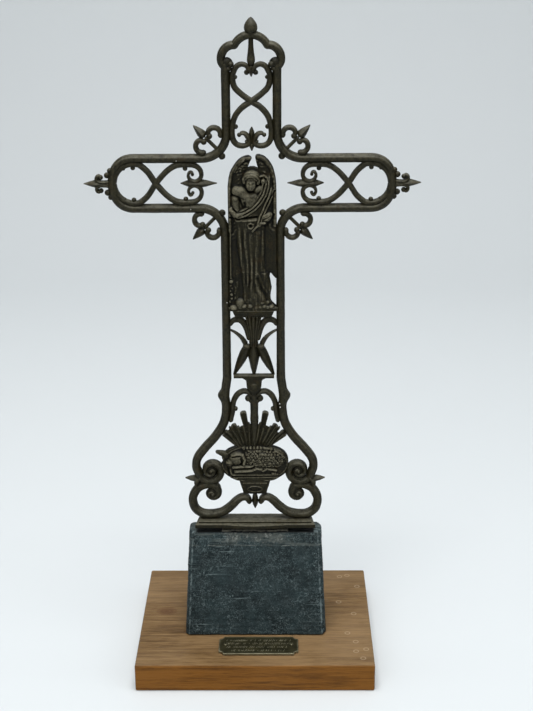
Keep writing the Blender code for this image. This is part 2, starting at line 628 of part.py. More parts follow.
def plant_ornament():
    """Cornice, leaf arches, three long leaves, ledge, cup and boss on the shaft's middle line."""
    cornice = slab(laid(on_shaft, [(-15.2, 283.5), (15.2, 283.5), (13.8, 278.0), (-13.8, 278.0)]),
                   BACK_Y - RAIL_DEPTH * 0.95, BACK_Y - LIFT * 1.2)
    sill = slab(laid(on_shaft, [(-18.4, 285.6), (18.4, 285.6), (18.4, 282.2), (-18.4, 282.2)]),
                BACK_Y - RAIL_DEPTH * 0.8, BACK_Y - LIFT * 1.4)
    knot = slab(laid(on_shaft, [(-7.8, 255.8), (7.8, 255.8), (7.0, 252.0), (-7.0, 252.0)]),
                BACK_Y - RAIL_DEPTH * 0.86, BACK_Y - LIFT * 1.3)
    ledge = [(-15.6, 232.4), (15.6, 232.4), (15.4, 229.2), (11.0, 229.6), (7.6, 227.0), (6.0, 221.6), (5.0, 218.6),
             (2.6, 216.4), (0.0, 215.6)]
    outline = ledge + [(-x, z) for x, z in reversed(ledge[2:-1])]
    cup = slab(laid(on_shaft, outline), BACK_Y - RAIL_DEPTH * 0.84, BACK_Y - LIFT * 1.7)
    boss = bead(on_shaft(0, 222.4), RAIL_WIDTH * 0.62, RAIL_DEPTH * 1.05, sides=8)
    solids = [cornice, sill, knot, cup, boss]
    stem = laid(on_shaft, [(0, 279), (0, 272), (0, 263), (0, 253)])
    solids.append(bar(stem, shares(LEAF_WIDTH, 2.5, 1.7, 1.3, 1.25), LEAF_DEPTH * 1.1,
                      back=BACK_Y - LIFT * 1.5, section=LEAF_SECTION))
    arch = [(18.2, 272.0), (14.4, 274.9), (9.6, 274.6), (5.8, 270.0), (3.6, 262.0)]
    blade = [(18.0, 266.6), (12.6, 263.2), (8.0, 259.0), (4.0, 253.6)]
    leaf = [(3.4, 256.4), (7.4, 247.6), (11.0, 240.0), (15.2, 230.4)]
    for points, parts, lift in ((arch, (0.54, 0.68, 0.72, 0.64), 1.1), (blade, (0.29, 0.46, 0.72), 1.0),
                                (leaf, (1.25, 1.18, 0.75, 0.32), 0.8)):
        solids += both(bar, laid(on_shaft, through(points)), shares(LEAF_WIDTH, *parts), LEAF_DEPTH * 0.84,
                       back=BACK_Y - LIFT * lift, section=RIB_SECTION)
    middle = laid(on_shaft, [(0, 256), (0, 247), (0, 237), (0, 229)])
    solids.append(bar(middle, shares(LEAF_WIDTH, 1.36, 1.4, 0.8, 0.2), LEAF_DEPTH, back=BACK_Y - LIFT * 0.7,
                      section=LEAF_SECTION))
    return solids


def fan():
    """The fluted fan that rises from the medallion, under two small arches with a stem between them."""
    web = [(-13, 172), (-24, 182.4), (-17, 187.0), (-11.6, 186.8), (-5.5, 189.6), (5.5, 189.6), (11.6, 186.8),
           (14.6, 184.0), (13.0, 172)]
    solids = [slab(laid(on_shaft, web), BACK_Y - RAIL_DEPTH * 0.46, BACK_Y - LIFT * 1.8)]
    rays = [((2.7, 170.2), (8.9, 200.6), 0.78), ((5.4, 170.2), (16.6, 189.6), 0.75),
            ((7.6, 170.2), (23.6, 183.6), 0.86)]
    for root, tip, part in rays:
        solids += both(bar, laid(on_shaft, [root, tip]), shares(LEAF_WIDTH, 0.5, part),
                       shares(LEAF_DEPTH, 0.75, 1.1), back=BACK_Y - LIFT * 1.5, section=RIB_SECTION)
    stem = laid(on_shaft, [(0, 172), (0, 190), (0, 196), (0, 209), (0, 216.6)])
    solids.append(bar(stem, shares(LEAF_WIDTH, 0.64, 1.03, 0.9, 1.18, 0.9), LEAF_DEPTH * 1.1,
                      back=BACK_Y - LIFT * 1.2, section=RIB_SECTION))
    arch = through([(0.4, 214.4), (4.2, 216.6), (8.6, 217.2), (13.0, 214.4), (16.0, 208.6), (16.9, 200.6),
                    (18.4, 192.4)])
    solids += both(bar, laid(on_shaft, arch), shares(CURL_WIDTH, 0.95, 1.05, 1.05, 1.05), INNER_DEPTH,
                   back=BACK_Y - LIFT * 0.9, section=RIB_SECTION)
    for side in (1, -1):
        solids.append(bead(on_shaft(side * 4.2, 212.9), KNOB_RADIUS * 1.1))
        solids.append(bead(on_shaft(side * 14.5, 203.2), SMALL_KNOB_RADIUS, sides=4))
    return solids


def foot_pendant():
    """The pointed drop and two lobes under the place where the foot scrolls meet."""
    solids = [slab(laid(on_shaft, [(-6.4, 134.6), (6.4, 134.6), (5.6, 128.6), (-5.6, 128.6)]),
                   BACK_Y - RAIL_DEPTH * 0.93, BACK_Y - LIFT)]
    drop = laid(on_shaft, [(0, 131), (0, 126), (0, 122.4), (0, 118.4)])
    solids.append(bar(drop, shares(LEAF_WIDTH, 0.54, 0.54, 0.72, 0.13), shares(LEAF_DEPTH, 1.15, 1.1, 0.85, 0.2),
                      back=BACK_Y - LIFT * 1.2, section=LEAF_SECTION))
    lobe = laid(on_shaft, [(4.8, 131.4), (4.6, 127.4), (2.8, 123.6)])
    solids += both(bar, lobe, shares(LEAF_WIDTH, 1.0, 1.0, 0.4), shares(LEAF_DEPTH, 1.2, 1.1, 0.5),
                   back=BACK_Y - LIFT * 1.4, section=LEAF_SECTION)
    return solids


def foot_plate():
    """The stepped plate the scrolls stand on, bulging in front, over a dished pad on the block."""
    front = [(x, -PLATE_DEPTH / 2 - PLATE_BULGE * math.cos(math.pi * x / PAD_WIDTH))
             for x in np.linspace(-PAD_WIDTH / 2, PAD_WIDTH / 2, 9)]
    half, deep = PLATE_WIDTH / 2, PLATE_DEPTH / 2
    outline = [(-half, -deep), *front, (half, -deep), (half - PLATE_TAPER, deep), (-half + PLATE_TAPER, deep)]
    plate = upright(outline, PLATE_Z, PLATE_Z + PLATE_THICKNESS)
    a, b = STEP_WIDTH / 2, STEP_DEPTH / 2
    step = upright([(-a, -b), (a, -b), (a, b), (-a, b)], PLATE_Z + PLATE_THICKNESS / 2, FOOT_Z)
    dish = [(x, -PAD_DEPTH / 2 + PAD_DISH * math.cos(math.pi * x / PAD_WIDTH))
            for x in np.linspace(PAD_WIDTH / 2, -PAD_WIDTH / 2, 9)]
    pad = upright([(-PAD_WIDTH / 2, PAD_DEPTH / 2 - LIFT), (PAD_WIDTH / 2, PAD_DEPTH / 2 - LIFT), *dish],
                  PAD_Z, PLATE_Z + PLATE_THICKNESS / 3)
    return [plate, step, pad]


def carved(base, others, operation):
    """The base with the other solids joined to it or cut out of it, by one exact Boolean."""
    group = bpy.data.collections.new("operands")
    bpy.context.scene.collection.children.link(group)
    for item in others:
        group.objects.link(item)
    cut = base.modifiers.new("joined", "BOOLEAN")
    cut.operation = operation
    cut.solver = "EXACT"
    cut.operand_type = "COLLECTION"
    cut.collection = group
    graph = bpy.context.evaluated_depsgraph_get()
    mesh = bpy.data.meshes.new_from_object(base.evaluated_get(graph))
    made = bpy.data.objects.new(base.name, mesh)
    bpy.context.scene.collection.objects.link(made)
    for item in (base, *others):
        bpy.data.objects.remove(item, do_unlink=True)
    bpy.data.collections.remove(group)
    return made


def iron_cross(iron):
    """The whole casting: one solid, joined from its bars, knobs and carved slabs."""
    solids = frame() + cap() + head_ornament()
    for side in (1, -1):
        solids += arm_ornament(side)
        for up in (1, -1):
            solids += corner_scroll(side, up)
    solids += plant_ornament() + fan() + lamb_medallion() + foot_pendant() + foot_plate()
    solids.append(winged_figure())
    cross = carved(solids[0], solids[1:], "UNION")
    cross.name = "iron_cross"
    bm = bmesh.new()
    bm.from_mesh(cross.data)
    bmesh.ops.dissolve_limit(bm, angle_limit=math.radians(FLAT_ANGLE), verts=bm.verts, edges=bm.edges)
    bm.to_mesh(cross.data)
    bm.free()
    cross.data.materials.clear()
    cross.data.materials.append(iron)
    return cross


# The base


def rounded_plan(width, depth, radius, steps=3):
    """A rectangle with round corners, as (x, y) points."""
    points = []
    for k, (sx, sy) in enumerate(((1, 1), (-1, 1), (-1, -1), (1, -1))):
        cx, cy = sx * (width / 2 - radius), sy * (depth / 2 - radius)
        points += arc(cx, cy, radius, 90 * k, 90 * k + 90, steps=steps)
    return points


def stone_block(slate):
    """The wedge of slate, narrowing upwards on all four sides, with an eased top edge."""
    levels = [(0.0, 0.0), (1.0 - BLOCK_EASING / BLOCK_HEIGHT, 0.0), (1.0, BLOCK_EASING)]
    bm = bmesh.new()
    rings = []
    for share, inset in levels:
        width = BLOCK_FOOT_WIDTH + (BLOCK_TOP_WIDTH - BLOCK_FOOT_WIDTH) * share - 2 * inset
        depth = BLOCK_FOOT_DEPTH + (BLOCK_TOP_DEPTH - BLOCK_FOOT_DEPTH) * share - inset
        z = BLOCK_BASE_Z + BLOCK_HEIGHT * share
        plan = rounded_plan(width, depth, min(BLOCK_CORNER, depth * 0.4))
        rings.append([bm.verts.new((x, y, z)) for x, y in plan])
    for first, second in zip(rings, rings[1:]):
        for k in range(len(first)):
            j = (k + 1) % len(first)
            bm.faces.new((first[k], first[j], second[j], second[k]))
    bm.faces.new(rings[0])
    bm.faces.new(rings[-1])
    return finish_mesh("stone_block", bm, slate)


def box(name, width, depth, low, high, easing, made_of):
    bm = bmesh.new()
    bmesh.ops.create_cube(bm, size=1.0)
    for vert in bm.verts:
        vert.co = (vert.co.x * width, vert.co.y * depth, low + (vert.co.z + 0.5) * (high - low))
    bmesh.ops.bevel(bm, geom=bm.edges, offset=easing, segments=2, profile=0.5, affect="EDGES")
    return finish_mesh(name, bm, made_of)


def plaque_middle():
    return PLAQUE_SHIFT, -(BLOCK_FOOT_DEPTH / 2 + PLAQUE_CLEARANCE + PLAQUE_DEPTH / 2)


def pin_places():
    x, y = plaque_middle()
    reach = PLAQUE_WIDTH / 2 - PIN_INSET
    return {"plaque_pin_left": (x - reach, y), "plaque_pin_right": (x + reach, y)}


def plaque(brass):
    """A thin plate whose corners are scooped out by quarter circles."""
    x, y = plaque_middle()
    outline = []
    for k, (sx, sy) in enumerate(((1, 1), (-1, 1), (-1, -1), (1, -1))):
        corner = (x + sx * PLAQUE_WIDTH / 2, y + sy * PLAQUE_DEPTH / 2)
        outline += arc(*corner, PLAQUE_SCOOP, 90 * k + 270, 90 * k + 180, steps=5)
    low = BOARD_THICKNESS + SEAT_GAP
    plate = upright(outline, low, low + PLAQUE_THICKNESS)
    holes = [turned(px, py, [(low - PLAQUE_THICKNESS, PIN_SHANK_RADIUS + SEAT_GAP),
                             (low + 2 * PLAQUE_THICKNESS, PIN_SHANK_RADIUS + SEAT_GAP)])
             for px, py in pin_places().values()]
    made = carved(plate, holes, "DIFFERENCE")
    made.name = "plaque"
    made.data.materials.clear()
    made.data.materials.append(brass)
    return made


def pins(brass):
    """Round-headed pins through the plaque into the board."""
    seat = BOARD_THICKNESS + PLAQUE_THICKNESS + 2 * SEAT_GAP
    for name, (x, y) in pin_places().items():
        dome_steps = [(seat + PIN_HEAD_HEIGHT * math.sin(a), PIN_HEAD_RADIUS * math.cos(a))
                      for a in np.linspace(0, 1.3, 4)]
        profile = [(seat - PIN_LENGTH, PIN_SHANK_RADIUS * 0.4), (seat - PIN_LENGTH * 0.85, PIN_SHANK_RADIUS),
                   (seat, PIN_SHANK_RADIUS), *dome_steps]
        pin = turned(x, y, profile)
        pin.name = name
        pin.data.materials.append(brass)


def board(oak):
    """The board with eased edges, drilled for the two pins."""
    blank = box("wooden_base", BOARD_WIDTH, BOARD_DEPTH, 0.0, BOARD_THICKNESS, BOARD_EASING, oak)
    depth = PIN_LENGTH - PLAQUE_THICKNESS
    holes = [turned(x, y, [(BOARD_THICKNESS - depth, PIN_SHANK_RADIUS + SEAT_GAP),
                           (BOARD_THICKNESS + depth, PIN_SHANK_RADIUS + SEAT_GAP)])
             for x, y in pin_places().values()]
    made = carved(blank, holes, "DIFFERENCE")
    made.name = "wooden_base"
    made.data.materials.clear()
    made.data.materials.append(oak)


clear_scene()
board(material("oak", (0.42, 0.25, 0.12), 0.55, 0.0))
stone_block(material("slate", (0.10, 0.13, 0.15), 0.6, 0.0))
plaque(material("brass", (0.28, 0.22, 0.08), 0.4, 1.0))
pins(material("pin brass", (0.45, 0.36, 0.15), 0.35, 1.0))
iron_cross(material("iron", (0.075, 0.062, 0.048), 0.5, 0.6))
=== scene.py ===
"""An openwork iron cross, cast in one piece, bedded on a slate block on an oak board with a brass plaque.

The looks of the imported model: every casting, stone, timber and brass surface, in metres, front towards -Y.
"""

import math

import bpy
import numpy as np
from mathutils import Matrix, Vector


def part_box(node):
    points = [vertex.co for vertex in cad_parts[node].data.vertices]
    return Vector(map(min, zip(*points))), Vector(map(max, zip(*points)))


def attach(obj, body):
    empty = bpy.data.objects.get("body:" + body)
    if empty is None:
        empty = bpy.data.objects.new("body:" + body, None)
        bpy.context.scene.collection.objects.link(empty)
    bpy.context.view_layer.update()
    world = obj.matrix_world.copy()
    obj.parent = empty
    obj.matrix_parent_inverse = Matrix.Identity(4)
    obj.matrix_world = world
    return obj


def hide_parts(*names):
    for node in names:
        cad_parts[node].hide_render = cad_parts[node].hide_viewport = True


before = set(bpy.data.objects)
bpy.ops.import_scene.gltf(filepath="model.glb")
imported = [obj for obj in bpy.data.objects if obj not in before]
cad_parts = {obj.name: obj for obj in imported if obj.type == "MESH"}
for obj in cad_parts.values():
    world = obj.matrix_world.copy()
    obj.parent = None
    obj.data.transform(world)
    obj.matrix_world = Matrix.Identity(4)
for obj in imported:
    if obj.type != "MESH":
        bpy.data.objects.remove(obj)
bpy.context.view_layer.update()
scene = bpy.context.scene


# CAMERA
# The photographer stood a metre back and a little above the cap, and looked down at the plaque.
CAMERA_PLACE = (0.0199, -0.9901, 0.6014)
CAMERA_YAW = math.radians(-0.591)
CAMERA_PITCH = math.radians(19.708)
CAMERA_ROLL = math.radians(-0.362)
CAMERA_LENS = 70.0
CAMERA_SENSOR = 36.0


def turned_camera(yaw, pitch, roll):
    """The camera's axes: forward from its yaw and pitch, then right and up turned about it by the roll."""
    forward = Vector((math.sin(yaw) * math.cos(pitch), math.cos(yaw) * math.cos(pitch), -math.sin(pitch)))
    level = forward.cross(Vector((0, 0, 1))).normalized()
    upright = level.cross(forward)
    right = level * math.cos(roll) + upright * math.sin(roll)
    up = upright * math.cos(roll) - level * math.sin(roll)
    return Matrix((right, up, -forward)).transposed().to_4x4()


camera = bpy.data.objects.new("camera", bpy.data.cameras.new("camera"))
camera.matrix_world = Matrix.Translation(CAMERA_PLACE) @ turned_camera(CAMERA_YAW,
                                                                       CAMERA_PITCH, CAMERA_ROLL)
camera.data.lens = CAMERA_LENS
camera.data.sensor_width = CAMERA_SENSOR
camera.data.sensor_fit = "AUTO"
scene.collection.objects.link(camera)
scene.camera = camera


# FLOOR AND LIGHT
# A pale seamless sweep that rises behind the object, and soft light from above, the front and the left.
SWEEP_HALF_WIDTH = 3.0
SWEEP_FRONT = -2.0
SWEEP_BEND = 1.0
SWEEP_RADIUS = 0.6
SWEEP_TOP = 3.0
SWEEP_COLOUR = (0.66, 0.685, 0.69)
SKY_LOW = (0.12, 0.125, 0.13)
SKY_MIDDLE = (0.30, 0.315, 0.33)
SKY_HIGH = (0.9, 0.94, 0.98)
SKY_STRENGTH = 0.7

floor_run = np.array([(SWEEP_FRONT, 0.0), (0.0, 0.0)])
bend = np.linspace(0, math.pi / 2, 17)
bend_run = np.stack([SWEEP_BEND + SWEEP_RADIUS * np.sin(bend),
                     SWEEP_RADIUS - SWEEP_RADIUS * np.cos(bend)], 1)
sweep_run = np.vstack([floor_run, bend_run, [(SWEEP_BEND + SWEEP_RADIUS, SWEEP_TOP)]])
sweep_points = [(x, y, z) for y, z in sweep_run for x in (-SWEEP_HALF_WIDTH, SWEEP_HALF_WIDTH)]
sweep_faces = [(2 * k, 2 * k + 1, 2 * k + 3, 2 * k + 2) for k in range(len(sweep_run) - 1)]
sweep_mesh = bpy.data.meshes.new("sweep")
sweep_mesh.from_pydata(sweep_points, [], sweep_faces)
sweep_mesh.shade_smooth()
sweep = bpy.data.objects.new("sweep", sweep_mesh)
scene.collection.objects.link(sweep)


class Shade:
    """An output in a shader tree. Sums, differences and products of such outputs make Math nodes."""

    def __init__(self, tree, socket):
        self.tree, self.socket = tree, socket

    def maths(self, operation, other=0.0):
        return node(self.tree, "ShaderNodeMath", {0: self, 1: other}, operation=operation)

    def __add__(self, other):
        return self.maths("ADD", other)

    def __sub__(self, other):
        return self.maths("SUBTRACT", other)

    def __mul__(self, other):
        return self.maths("MULTIPLY", other)

    def clamped(self):
        return node(self.tree, "ShaderNodeClamp", {"Value": self})

    def peak(self, slope):
        """1 where this value is nought, falling with that slope on both sides to 0."""
        return (self.maths("ABSOLUTE") * -slope + 1.0).clamped()

    def ramp(self, *stops):
        """Colours or greys at these places along 0 to 1."""
        made = self.tree.nodes.new("ShaderNodeValToRGB")
        self.tree.links.new(self.socket, made.inputs["Fac"])
        elements = made.color_ramp.elements
        while len(elements) < len(stops):
            elements.new(0.5)
        for element, (place, colour) in zip(elements, stops):
            element.position = place
            element.color = (*colour, 1.0) if isinstance(colour, tuple) else (colour, colour, colour, 1.0)
        return Shade(self.tree, made.outputs["Color"])

    def over(self, below, colour):
        """A colour laid over what is below it, with this output as its mask."""
        ends = [end if isinstance(end, Shade) else (*end, 1.0) for end in (below, colour)]
        return node(self.tree, "ShaderNodeMix", {0: self, 6: ends[0], 7: ends[1]}, 2, data_type="RGBA")


def node(tree, kind, inputs=None, output=0, **settings):
    """One output of a new node with these settings and, for each named input, a value or an output."""
    made = tree.nodes.new(kind)
    for name, value in settings.items():
        setattr(made, name, value)
    for name, value in (inputs or {}).items():
        if isinstance(value, Shade):
            tree.links.new(value.socket, made.inputs[name])
        else:
            made.inputs[name].default_value = value
    return Shade(tree, made.outputs[output])


class Paint:
    """A new material: its shader's plain values, its tree and its Object coordinates."""

    def __init__(self, name, roughness, metallic=0.0, gloss=0.5):
        self.material = bpy.data.materials.new(name)
        self.material.use_nodes = True
        self.tree = self.material.node_tree
        self.shader = self.tree.nodes["Principled BSDF"]
        for socket, value in (("Roughness", roughness), ("Metallic", metallic),
                              ("Specular IOR Level", gloss)):
            self.shader.inputs[socket].default_value = value
        self.where = node(self.tree, "ShaderNodeTexCoord", output="Object")

    def stretched(self, where, stretch):
        """Coordinates for a pattern, drawn out along the axes that have the small numbers."""
        where = where or self.where
        return node(self.tree, "ShaderNodeMapping",
                    {"Vector": where, "Scale": stretch}) if stretch else where

    def noise(self, scale, detail=4.0, rough=0.55, distortion=0.0, stretch=None, where=None):
        return node(self.tree, "ShaderNodeTexNoise", {
            "Vector": self.stretched(where, stretch), "Scale": scale, "Detail": detail, "Roughness": rough,
            "Distortion": distortion}, "Fac")

    def place(self, axis):
        return node(self.tree, "ShaderNodeSeparateXYZ", {"Vector": self.where}, axis)

    def facing(self, axis):
        """How far the surface faces along the axis."""
        normal = node(self.tree, "ShaderNodeNewGeometry", output="Normal")
        return node(self.tree, "ShaderNodeSeparateXYZ", {"Vector": normal}, axis)

    def worn(self):
        return node(self.tree, "ShaderNodeAttribute", output="Fac", attribute_name="worn")

    def vector(self, operation, first, second=(0, 0, 0), output=0):
        return node(self.tree, "ShaderNodeVectorMath", {0: first, 1: second}, output, operation=operation)

    def finish(self, bump, strength, distance, **sockets):
        """Links the bump's height and what else changes over the surface: Base_Color and Roughness."""
        sockets["Normal"] = node(self.tree, "ShaderNodeBump", {"Height": bump, "Strength": strength,
                                                               "Distance": distance})
        for name, value in sockets.items():
            self.tree.links.new(value.socket, self.shader.inputs[name.replace("_", " ")])
        return self.material


sweep_paint = Paint("sweep_paint", roughness=0.9)
sweep_paint.shader.inputs["Base Color"].default_value = (*SWEEP_COLOUR, 1.0)
sweep_mesh.materials.append(sweep_paint.material)


def soft_light(name, place, target, size, power, colour):
    """A square area light that looks at its target."""
    light = bpy.data.lights.new(name, "AREA")
    light.size = size
    light.energy = power
    light.color = colour
    lamp = bpy.data.objects.new(name, light)
    lamp.location = place
    lamp.rotation_euler = (Vector(target) - Vector(place)).to_track_quat("-Z", "Y").to_euler()
    scene.collection.objects.link(lamp)


soft_light("sky_panel", (0.0, -0.25, 1.9), (0, 0, 0.25), 1.0, 30.0, (0.98, 0.99, 1.0))
soft_light("front_panel", (-1.0, -1.9, 1.5), (0, 0, 0.2), 1.2, 11.0, (1.0, 0.99, 0.97))
soft_light("side_panel", (1.6, -0.7, 1.2), (0, 0, 0.25), 0.8, 4.0, (0.95, 0.98, 1.0))

world = bpy.data.worlds.new("overcast")
world.use_nodes = True
sky = world.node_tree
sky_place = node(sky, "ShaderNodeTexCoord", output="Generated")
upward = node(sky, "ShaderNodeSeparateXYZ", {"Vector": sky_place}, "Z")
sky_colour = upward.ramp((0.0, SKY_LOW), (0.3, SKY_MIDDLE), (0.9, SKY_HIGH))
sky.links.new(sky_colour.socket, sky.nodes["Background"].inputs["Color"])
sky.nodes["Background"].inputs["Strength"].default_value = SKY_STRENGTH
scene.world = world
scene.view_settings.view_transform = "Standard"


# OAK BOARD
# A flat oak board with eased edges, its grain along the front. The CAD board keeps its shape.
# It was oiled and has darkened, most on the front edge; it has one knot and some ring-shaped dents.
OAK_LIGHT = (0.225, 0.137, 0.060)
OAK_MIDDLE = (0.160, 0.094, 0.038)
OAK_DARK = (0.080, 0.042, 0.014)
OAK_EDGE = (0.235, 0.084, 0.005)
OAK_EDGE_DARK = (0.105, 0.036, 0.002)
OAK_PORE = (0.085, 0.042, 0.016)
OAK_PALE = (0.30, 0.195, 0.10)
OAK_KNOT = (0.105, 0.047, 0.019)
OAK_DENT = (0.42, 0.32, 0.20)
KNOT_PLACE = (-0.0735, 0.006)
KNOT_SIZE = (0.0095, 0.0068)
DENTS = [(0.0835, -0.065), (0.0785, -0.055), (0.079, -0.041), (0.0865, -0.052), (0.0795, 0.002),
         (0.068, 0.021),
         (0.0845, 0.047), (0.0705, 0.064), (0.077, 0.066), (0.073, -0.028)]
DENT_RADIUS = 0.0019
DENT_LINE = 1500.0
KNOT_SWERVE = 0.0016


def patches_group():
    """Noise at a vector, its levels between From Min and From Max mapped to a mask from To Min to To Max."""
    group = bpy.data.node_groups.new("patches", "ShaderNodeTree")
    group.interface.new_socket("Vector", in_out="INPUT", socket_type="NodeSocketVector")
    for name in ("Scale", "Detail", "Roughness", "From Min", "From Max", "To Min", "To Max"):
        group.interface.new_socket(name, in_out="INPUT", socket_type="NodeSocketFloat")
    group.interface.new_socket("Mask", in_out="OUTPUT", socket_type="NodeSocketFloat")
    given = group.nodes.new("NodeGroupInput").outputs
    level = node(group, "ShaderNodeTexNoise", {name: Shade(group, given[name]) for name in (
        "Vector", "Scale", "Detail", "Roughness")}, "Fac")
    span = {name: Shade(group, given[name]) for name in ("From Min", "From Max", "To Min", "To Max")}
    mask = node(group, "ShaderNodeMapRange", {"Value": level, **span})
    group.links.new(mask.socket, group.nodes.new("NodeGroupOutput").inputs["Mask"])
    return group


PATCHES = patches_group()


def patches(paint, low, high, scale, detail=4.0, rough=0.55, stretch=None, where=None):
    """A mask from the group; low and high are each a level of the noise and the mask's value there."""
    return node(paint.tree, "ShaderNodeGroup", {
        "Vector": paint.stretched(where, stretch), "Scale": scale, "Detail": detail, "Roughness": rough,
        "From Min": low[0], "From Max": high[0], "To Min": low[1], "To Max": high[1]}, "Mask",
        node_tree=PATCHES)


def oak_material():
    """Grain along X bent round the knot, pores as fine dashes, an orange front edge and pressed rings."""
    oak = Paint("oiled_oak", roughness=0.5, gloss=0.12)
    near_knot = oak.vector("SUBTRACT", oak.where, (*KNOT_PLACE, 0.0))
    oval = oak.vector("MULTIPLY", near_knot, (1 / KNOT_SIZE[0], 1 / KNOT_SIZE[1], 0.0))
    away = oak.vector("LENGTH", oval, output="Value")
    swerve = (away * away + 1.0).maths("POWER", -1.0) * KNOT_SWERVE
    bent = oak.vector("ADD", oak.where, node(oak.tree, "ShaderNodeCombineXYZ", {"Y": swerve}))
    broad = oak.noise(1.6, 3.0, 0.6, 0.4, (5.0, 60.0, 60.0), bent)
    fine = oak.noise(1.0, 5.0, 0.75, stretch=(26.0, 520.0, 520.0), where=bent)
    pores = patches(oak, (0.54, 0.0), (0.64, 1.0), 1.0, 2.0, 0.5, stretch=(75.0, 950.0, 950.0), where=bent)
    grain = broad * 0.28 + fine * 0.72
    timber = grain.ramp((0.38, OAK_DARK), (0.48, OAK_MIDDLE), (0.58, OAK_LIGHT))
    timber = (pores * 0.6).over(timber, OAK_PORE)
    pale = patches(oak, (0.42, 0.0), (0.72, 0.45), 1.0, 2.0, stretch=(9.0, 13.0, 9.0))
    timber = pale.over(timber, OAK_PALE)
    front = (oak.facing("Y").maths("ABSOLUTE") * 0.8).clamped()
    timber = front.over(timber, grain.ramp((0.40, OAK_EDGE_DARK), (0.52, OAK_EDGE)))
    knot_rings = (away * 17.0).maths("SINE") * 0.14 * away.ramp((0.0, 1.0), (0.7, 1.0), (1.0, 0.0))
    knot = (away.ramp((0.0, 0.85), (0.6, 0.6), (1.0, 0.0)) + knot_rings).clamped()
    timber = knot.over(timber, OAK_KNOT)
    board_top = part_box("wooden_base")[1][2]
    dents = None
    for x, y in DENTS:
        ring = (oak.vector("DISTANCE", oak.where, (x, y, board_top), "Value") - DENT_RADIUS).peak(DENT_LINE)
        dents = dents.maths("MAXIMUM", ring) if dents else ring
    timber = (dents * 0.6).over(timber, OAK_DENT)
    return oak.finish(fine * 0.5 - pores * 0.6 - dents * 1.2, 0.5, 0.0003, Base_Color=timber,
                      Roughness=grain.ramp((0.3, 0.42), (0.7, 0.6)))


def dress(node, material):
    """Gives a CAD node its finish."""
    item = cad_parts[node]
    item = bpy.data.objects[item] if isinstance(item, str) else item
    item.data.materials.clear()
    item.data.materials.append(material)


dress("wooden_base", oak_material())


# SLATE BLOCK
# A wedge of dark slate, rubbed on its faces, with rounded upright edges that show small chips.
# Beds of the stone run level across it; mortar from bedding the casting has smeared down its top.
MM = 0.001
BLOCK_LOW, BLOCK_HIGH = (np.array(corner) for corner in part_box("stone_block"))
BLOCK_TOP_HALF = (52.5 * MM, 9.5 * MM)
BLOCK_CORNER = 4.5 * MM
BLOCK_EASING = 1.6 * MM
BLOCK_POINTS, BLOCK_LEVELS = 520, 150
SMEAR_HALF, SMEAR_FOOT, BED_LINE = 26 * MM, 93.5 * MM, 91.5 * MM
TOP_BAND, TOP_FACE = 91.2 * MM, 100.82 * MM
PLATE_SHADE = 47.0 * MM
SLATE_DARK = (0.0035, 0.0085, 0.0095)
SLATE_BLUE = (0.0160, 0.0285, 0.0305)
SLATE_PALE = (0.170, 0.218, 0.220)
SLATE_ARRIS = (0.145, 0.185, 0.185)
MORTAR_DULL = (0.080, 0.088, 0.078)
SLATE_DUST = (0.040, 0.055, 0.057)
SLATE_BAND = (0.10, 0.115, 0.105)
SLATE_SHADE = (0.004, 0.005, 0.005)
MORTAR_GRIT = (0.30, 0.31, 0.28)


def grid_faces(rows, columns, wrap=False):
    """Quads between the points of a grid, row by row; wrapped, the last column joins the first."""
    last = columns if wrap else columns - 1
    r, c = np.meshgrid(np.arange(rows - 1), np.arange(last), indexing="ij")
    next_c = (c + 1) % columns
    return np.stack([r * columns + c, r * columns + next_c, (r + 1) * columns + next_c,
                     (r + 1) * columns + c],
                    -1).reshape(-1, 4)


POLE_WEAR = 0.3


def tube(rings, worn):
    """A closed skin over rings of points (rows, columns, 3), with a pole in the middle of each end ring."""
    rows, columns, _ = rings.shape
    points = np.vstack([rings.reshape(-1, 3), rings[0].mean(0), rings[-1].mean(0)])
    faces = grid_faces(rows, columns, wrap=True).tolist()
    k = np.arange(columns)
    j = (k + 1) % columns
    first, last = rows * columns, rows * columns + 1
    top = (rows - 1) * columns
    faces += np.stack([j, k, np.full(columns, first)], 1).tolist()
    faces += np.stack([top + k, top + j, np.full(columns, last)], 1).tolist()
    return points, faces, np.append(worn.reshape(-1), [POLE_WEAR, POLE_WEAR])


def piece(name, parts, material, replaced, crease=40.0):
    """One object from several skins (points, faces, wear), smooth but for edges sharper than the crease."""
    points, faces, wear, start = [], [], [], 0
    for part_points, part_faces, part_wear in parts:
        points.append(part_points)
        faces += [[corner + start for corner in face] for face in part_faces]
        wear.append(part_wear)
        start += len(part_points)
    mesh = bpy.data.meshes.new(name)
    mesh.from_pydata(np.vstack(points).tolist(), [], faces)
    mesh.update()
    mark = mesh.attributes.new("worn", "FLOAT", "POINT")
    mark.data.foreach_set("value", np.concatenate(wear).astype(np.float32))
    mesh.shade_smooth()
    mesh.set_sharp_from_angle(angle=math.radians(crease))
    mesh.materials.append(material)
    made = bpy.data.objects.new(name, mesh)
    scene.collection.objects.link(made)
    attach(made, "root")
    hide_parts(replaced)


def lattice(x, y, seed):
    """Smooth random values between 0 and 1, one lump to each unit of x and y, the same each run."""
    table = np.random.default_rng(seed).random((64, 64))
    ix, iy = np.floor(x).astype(int), np.floor(y).astype(int)
    fx, fy = x - ix, y - iy
    fx, fy = fx * fx * (3 - 2 * fx), fy * fy * (3 - 2 * fy)
    low = table[ix % 64, iy % 64] * (1 - fx) + table[(ix + 1) % 64, iy % 64] * fx
    high = table[ix % 64, (iy + 1) % 64] * (1 - fx) + table[(ix + 1) % 64, (iy + 1) % 64] * fx
    return low * (1 - fy) + high * fy


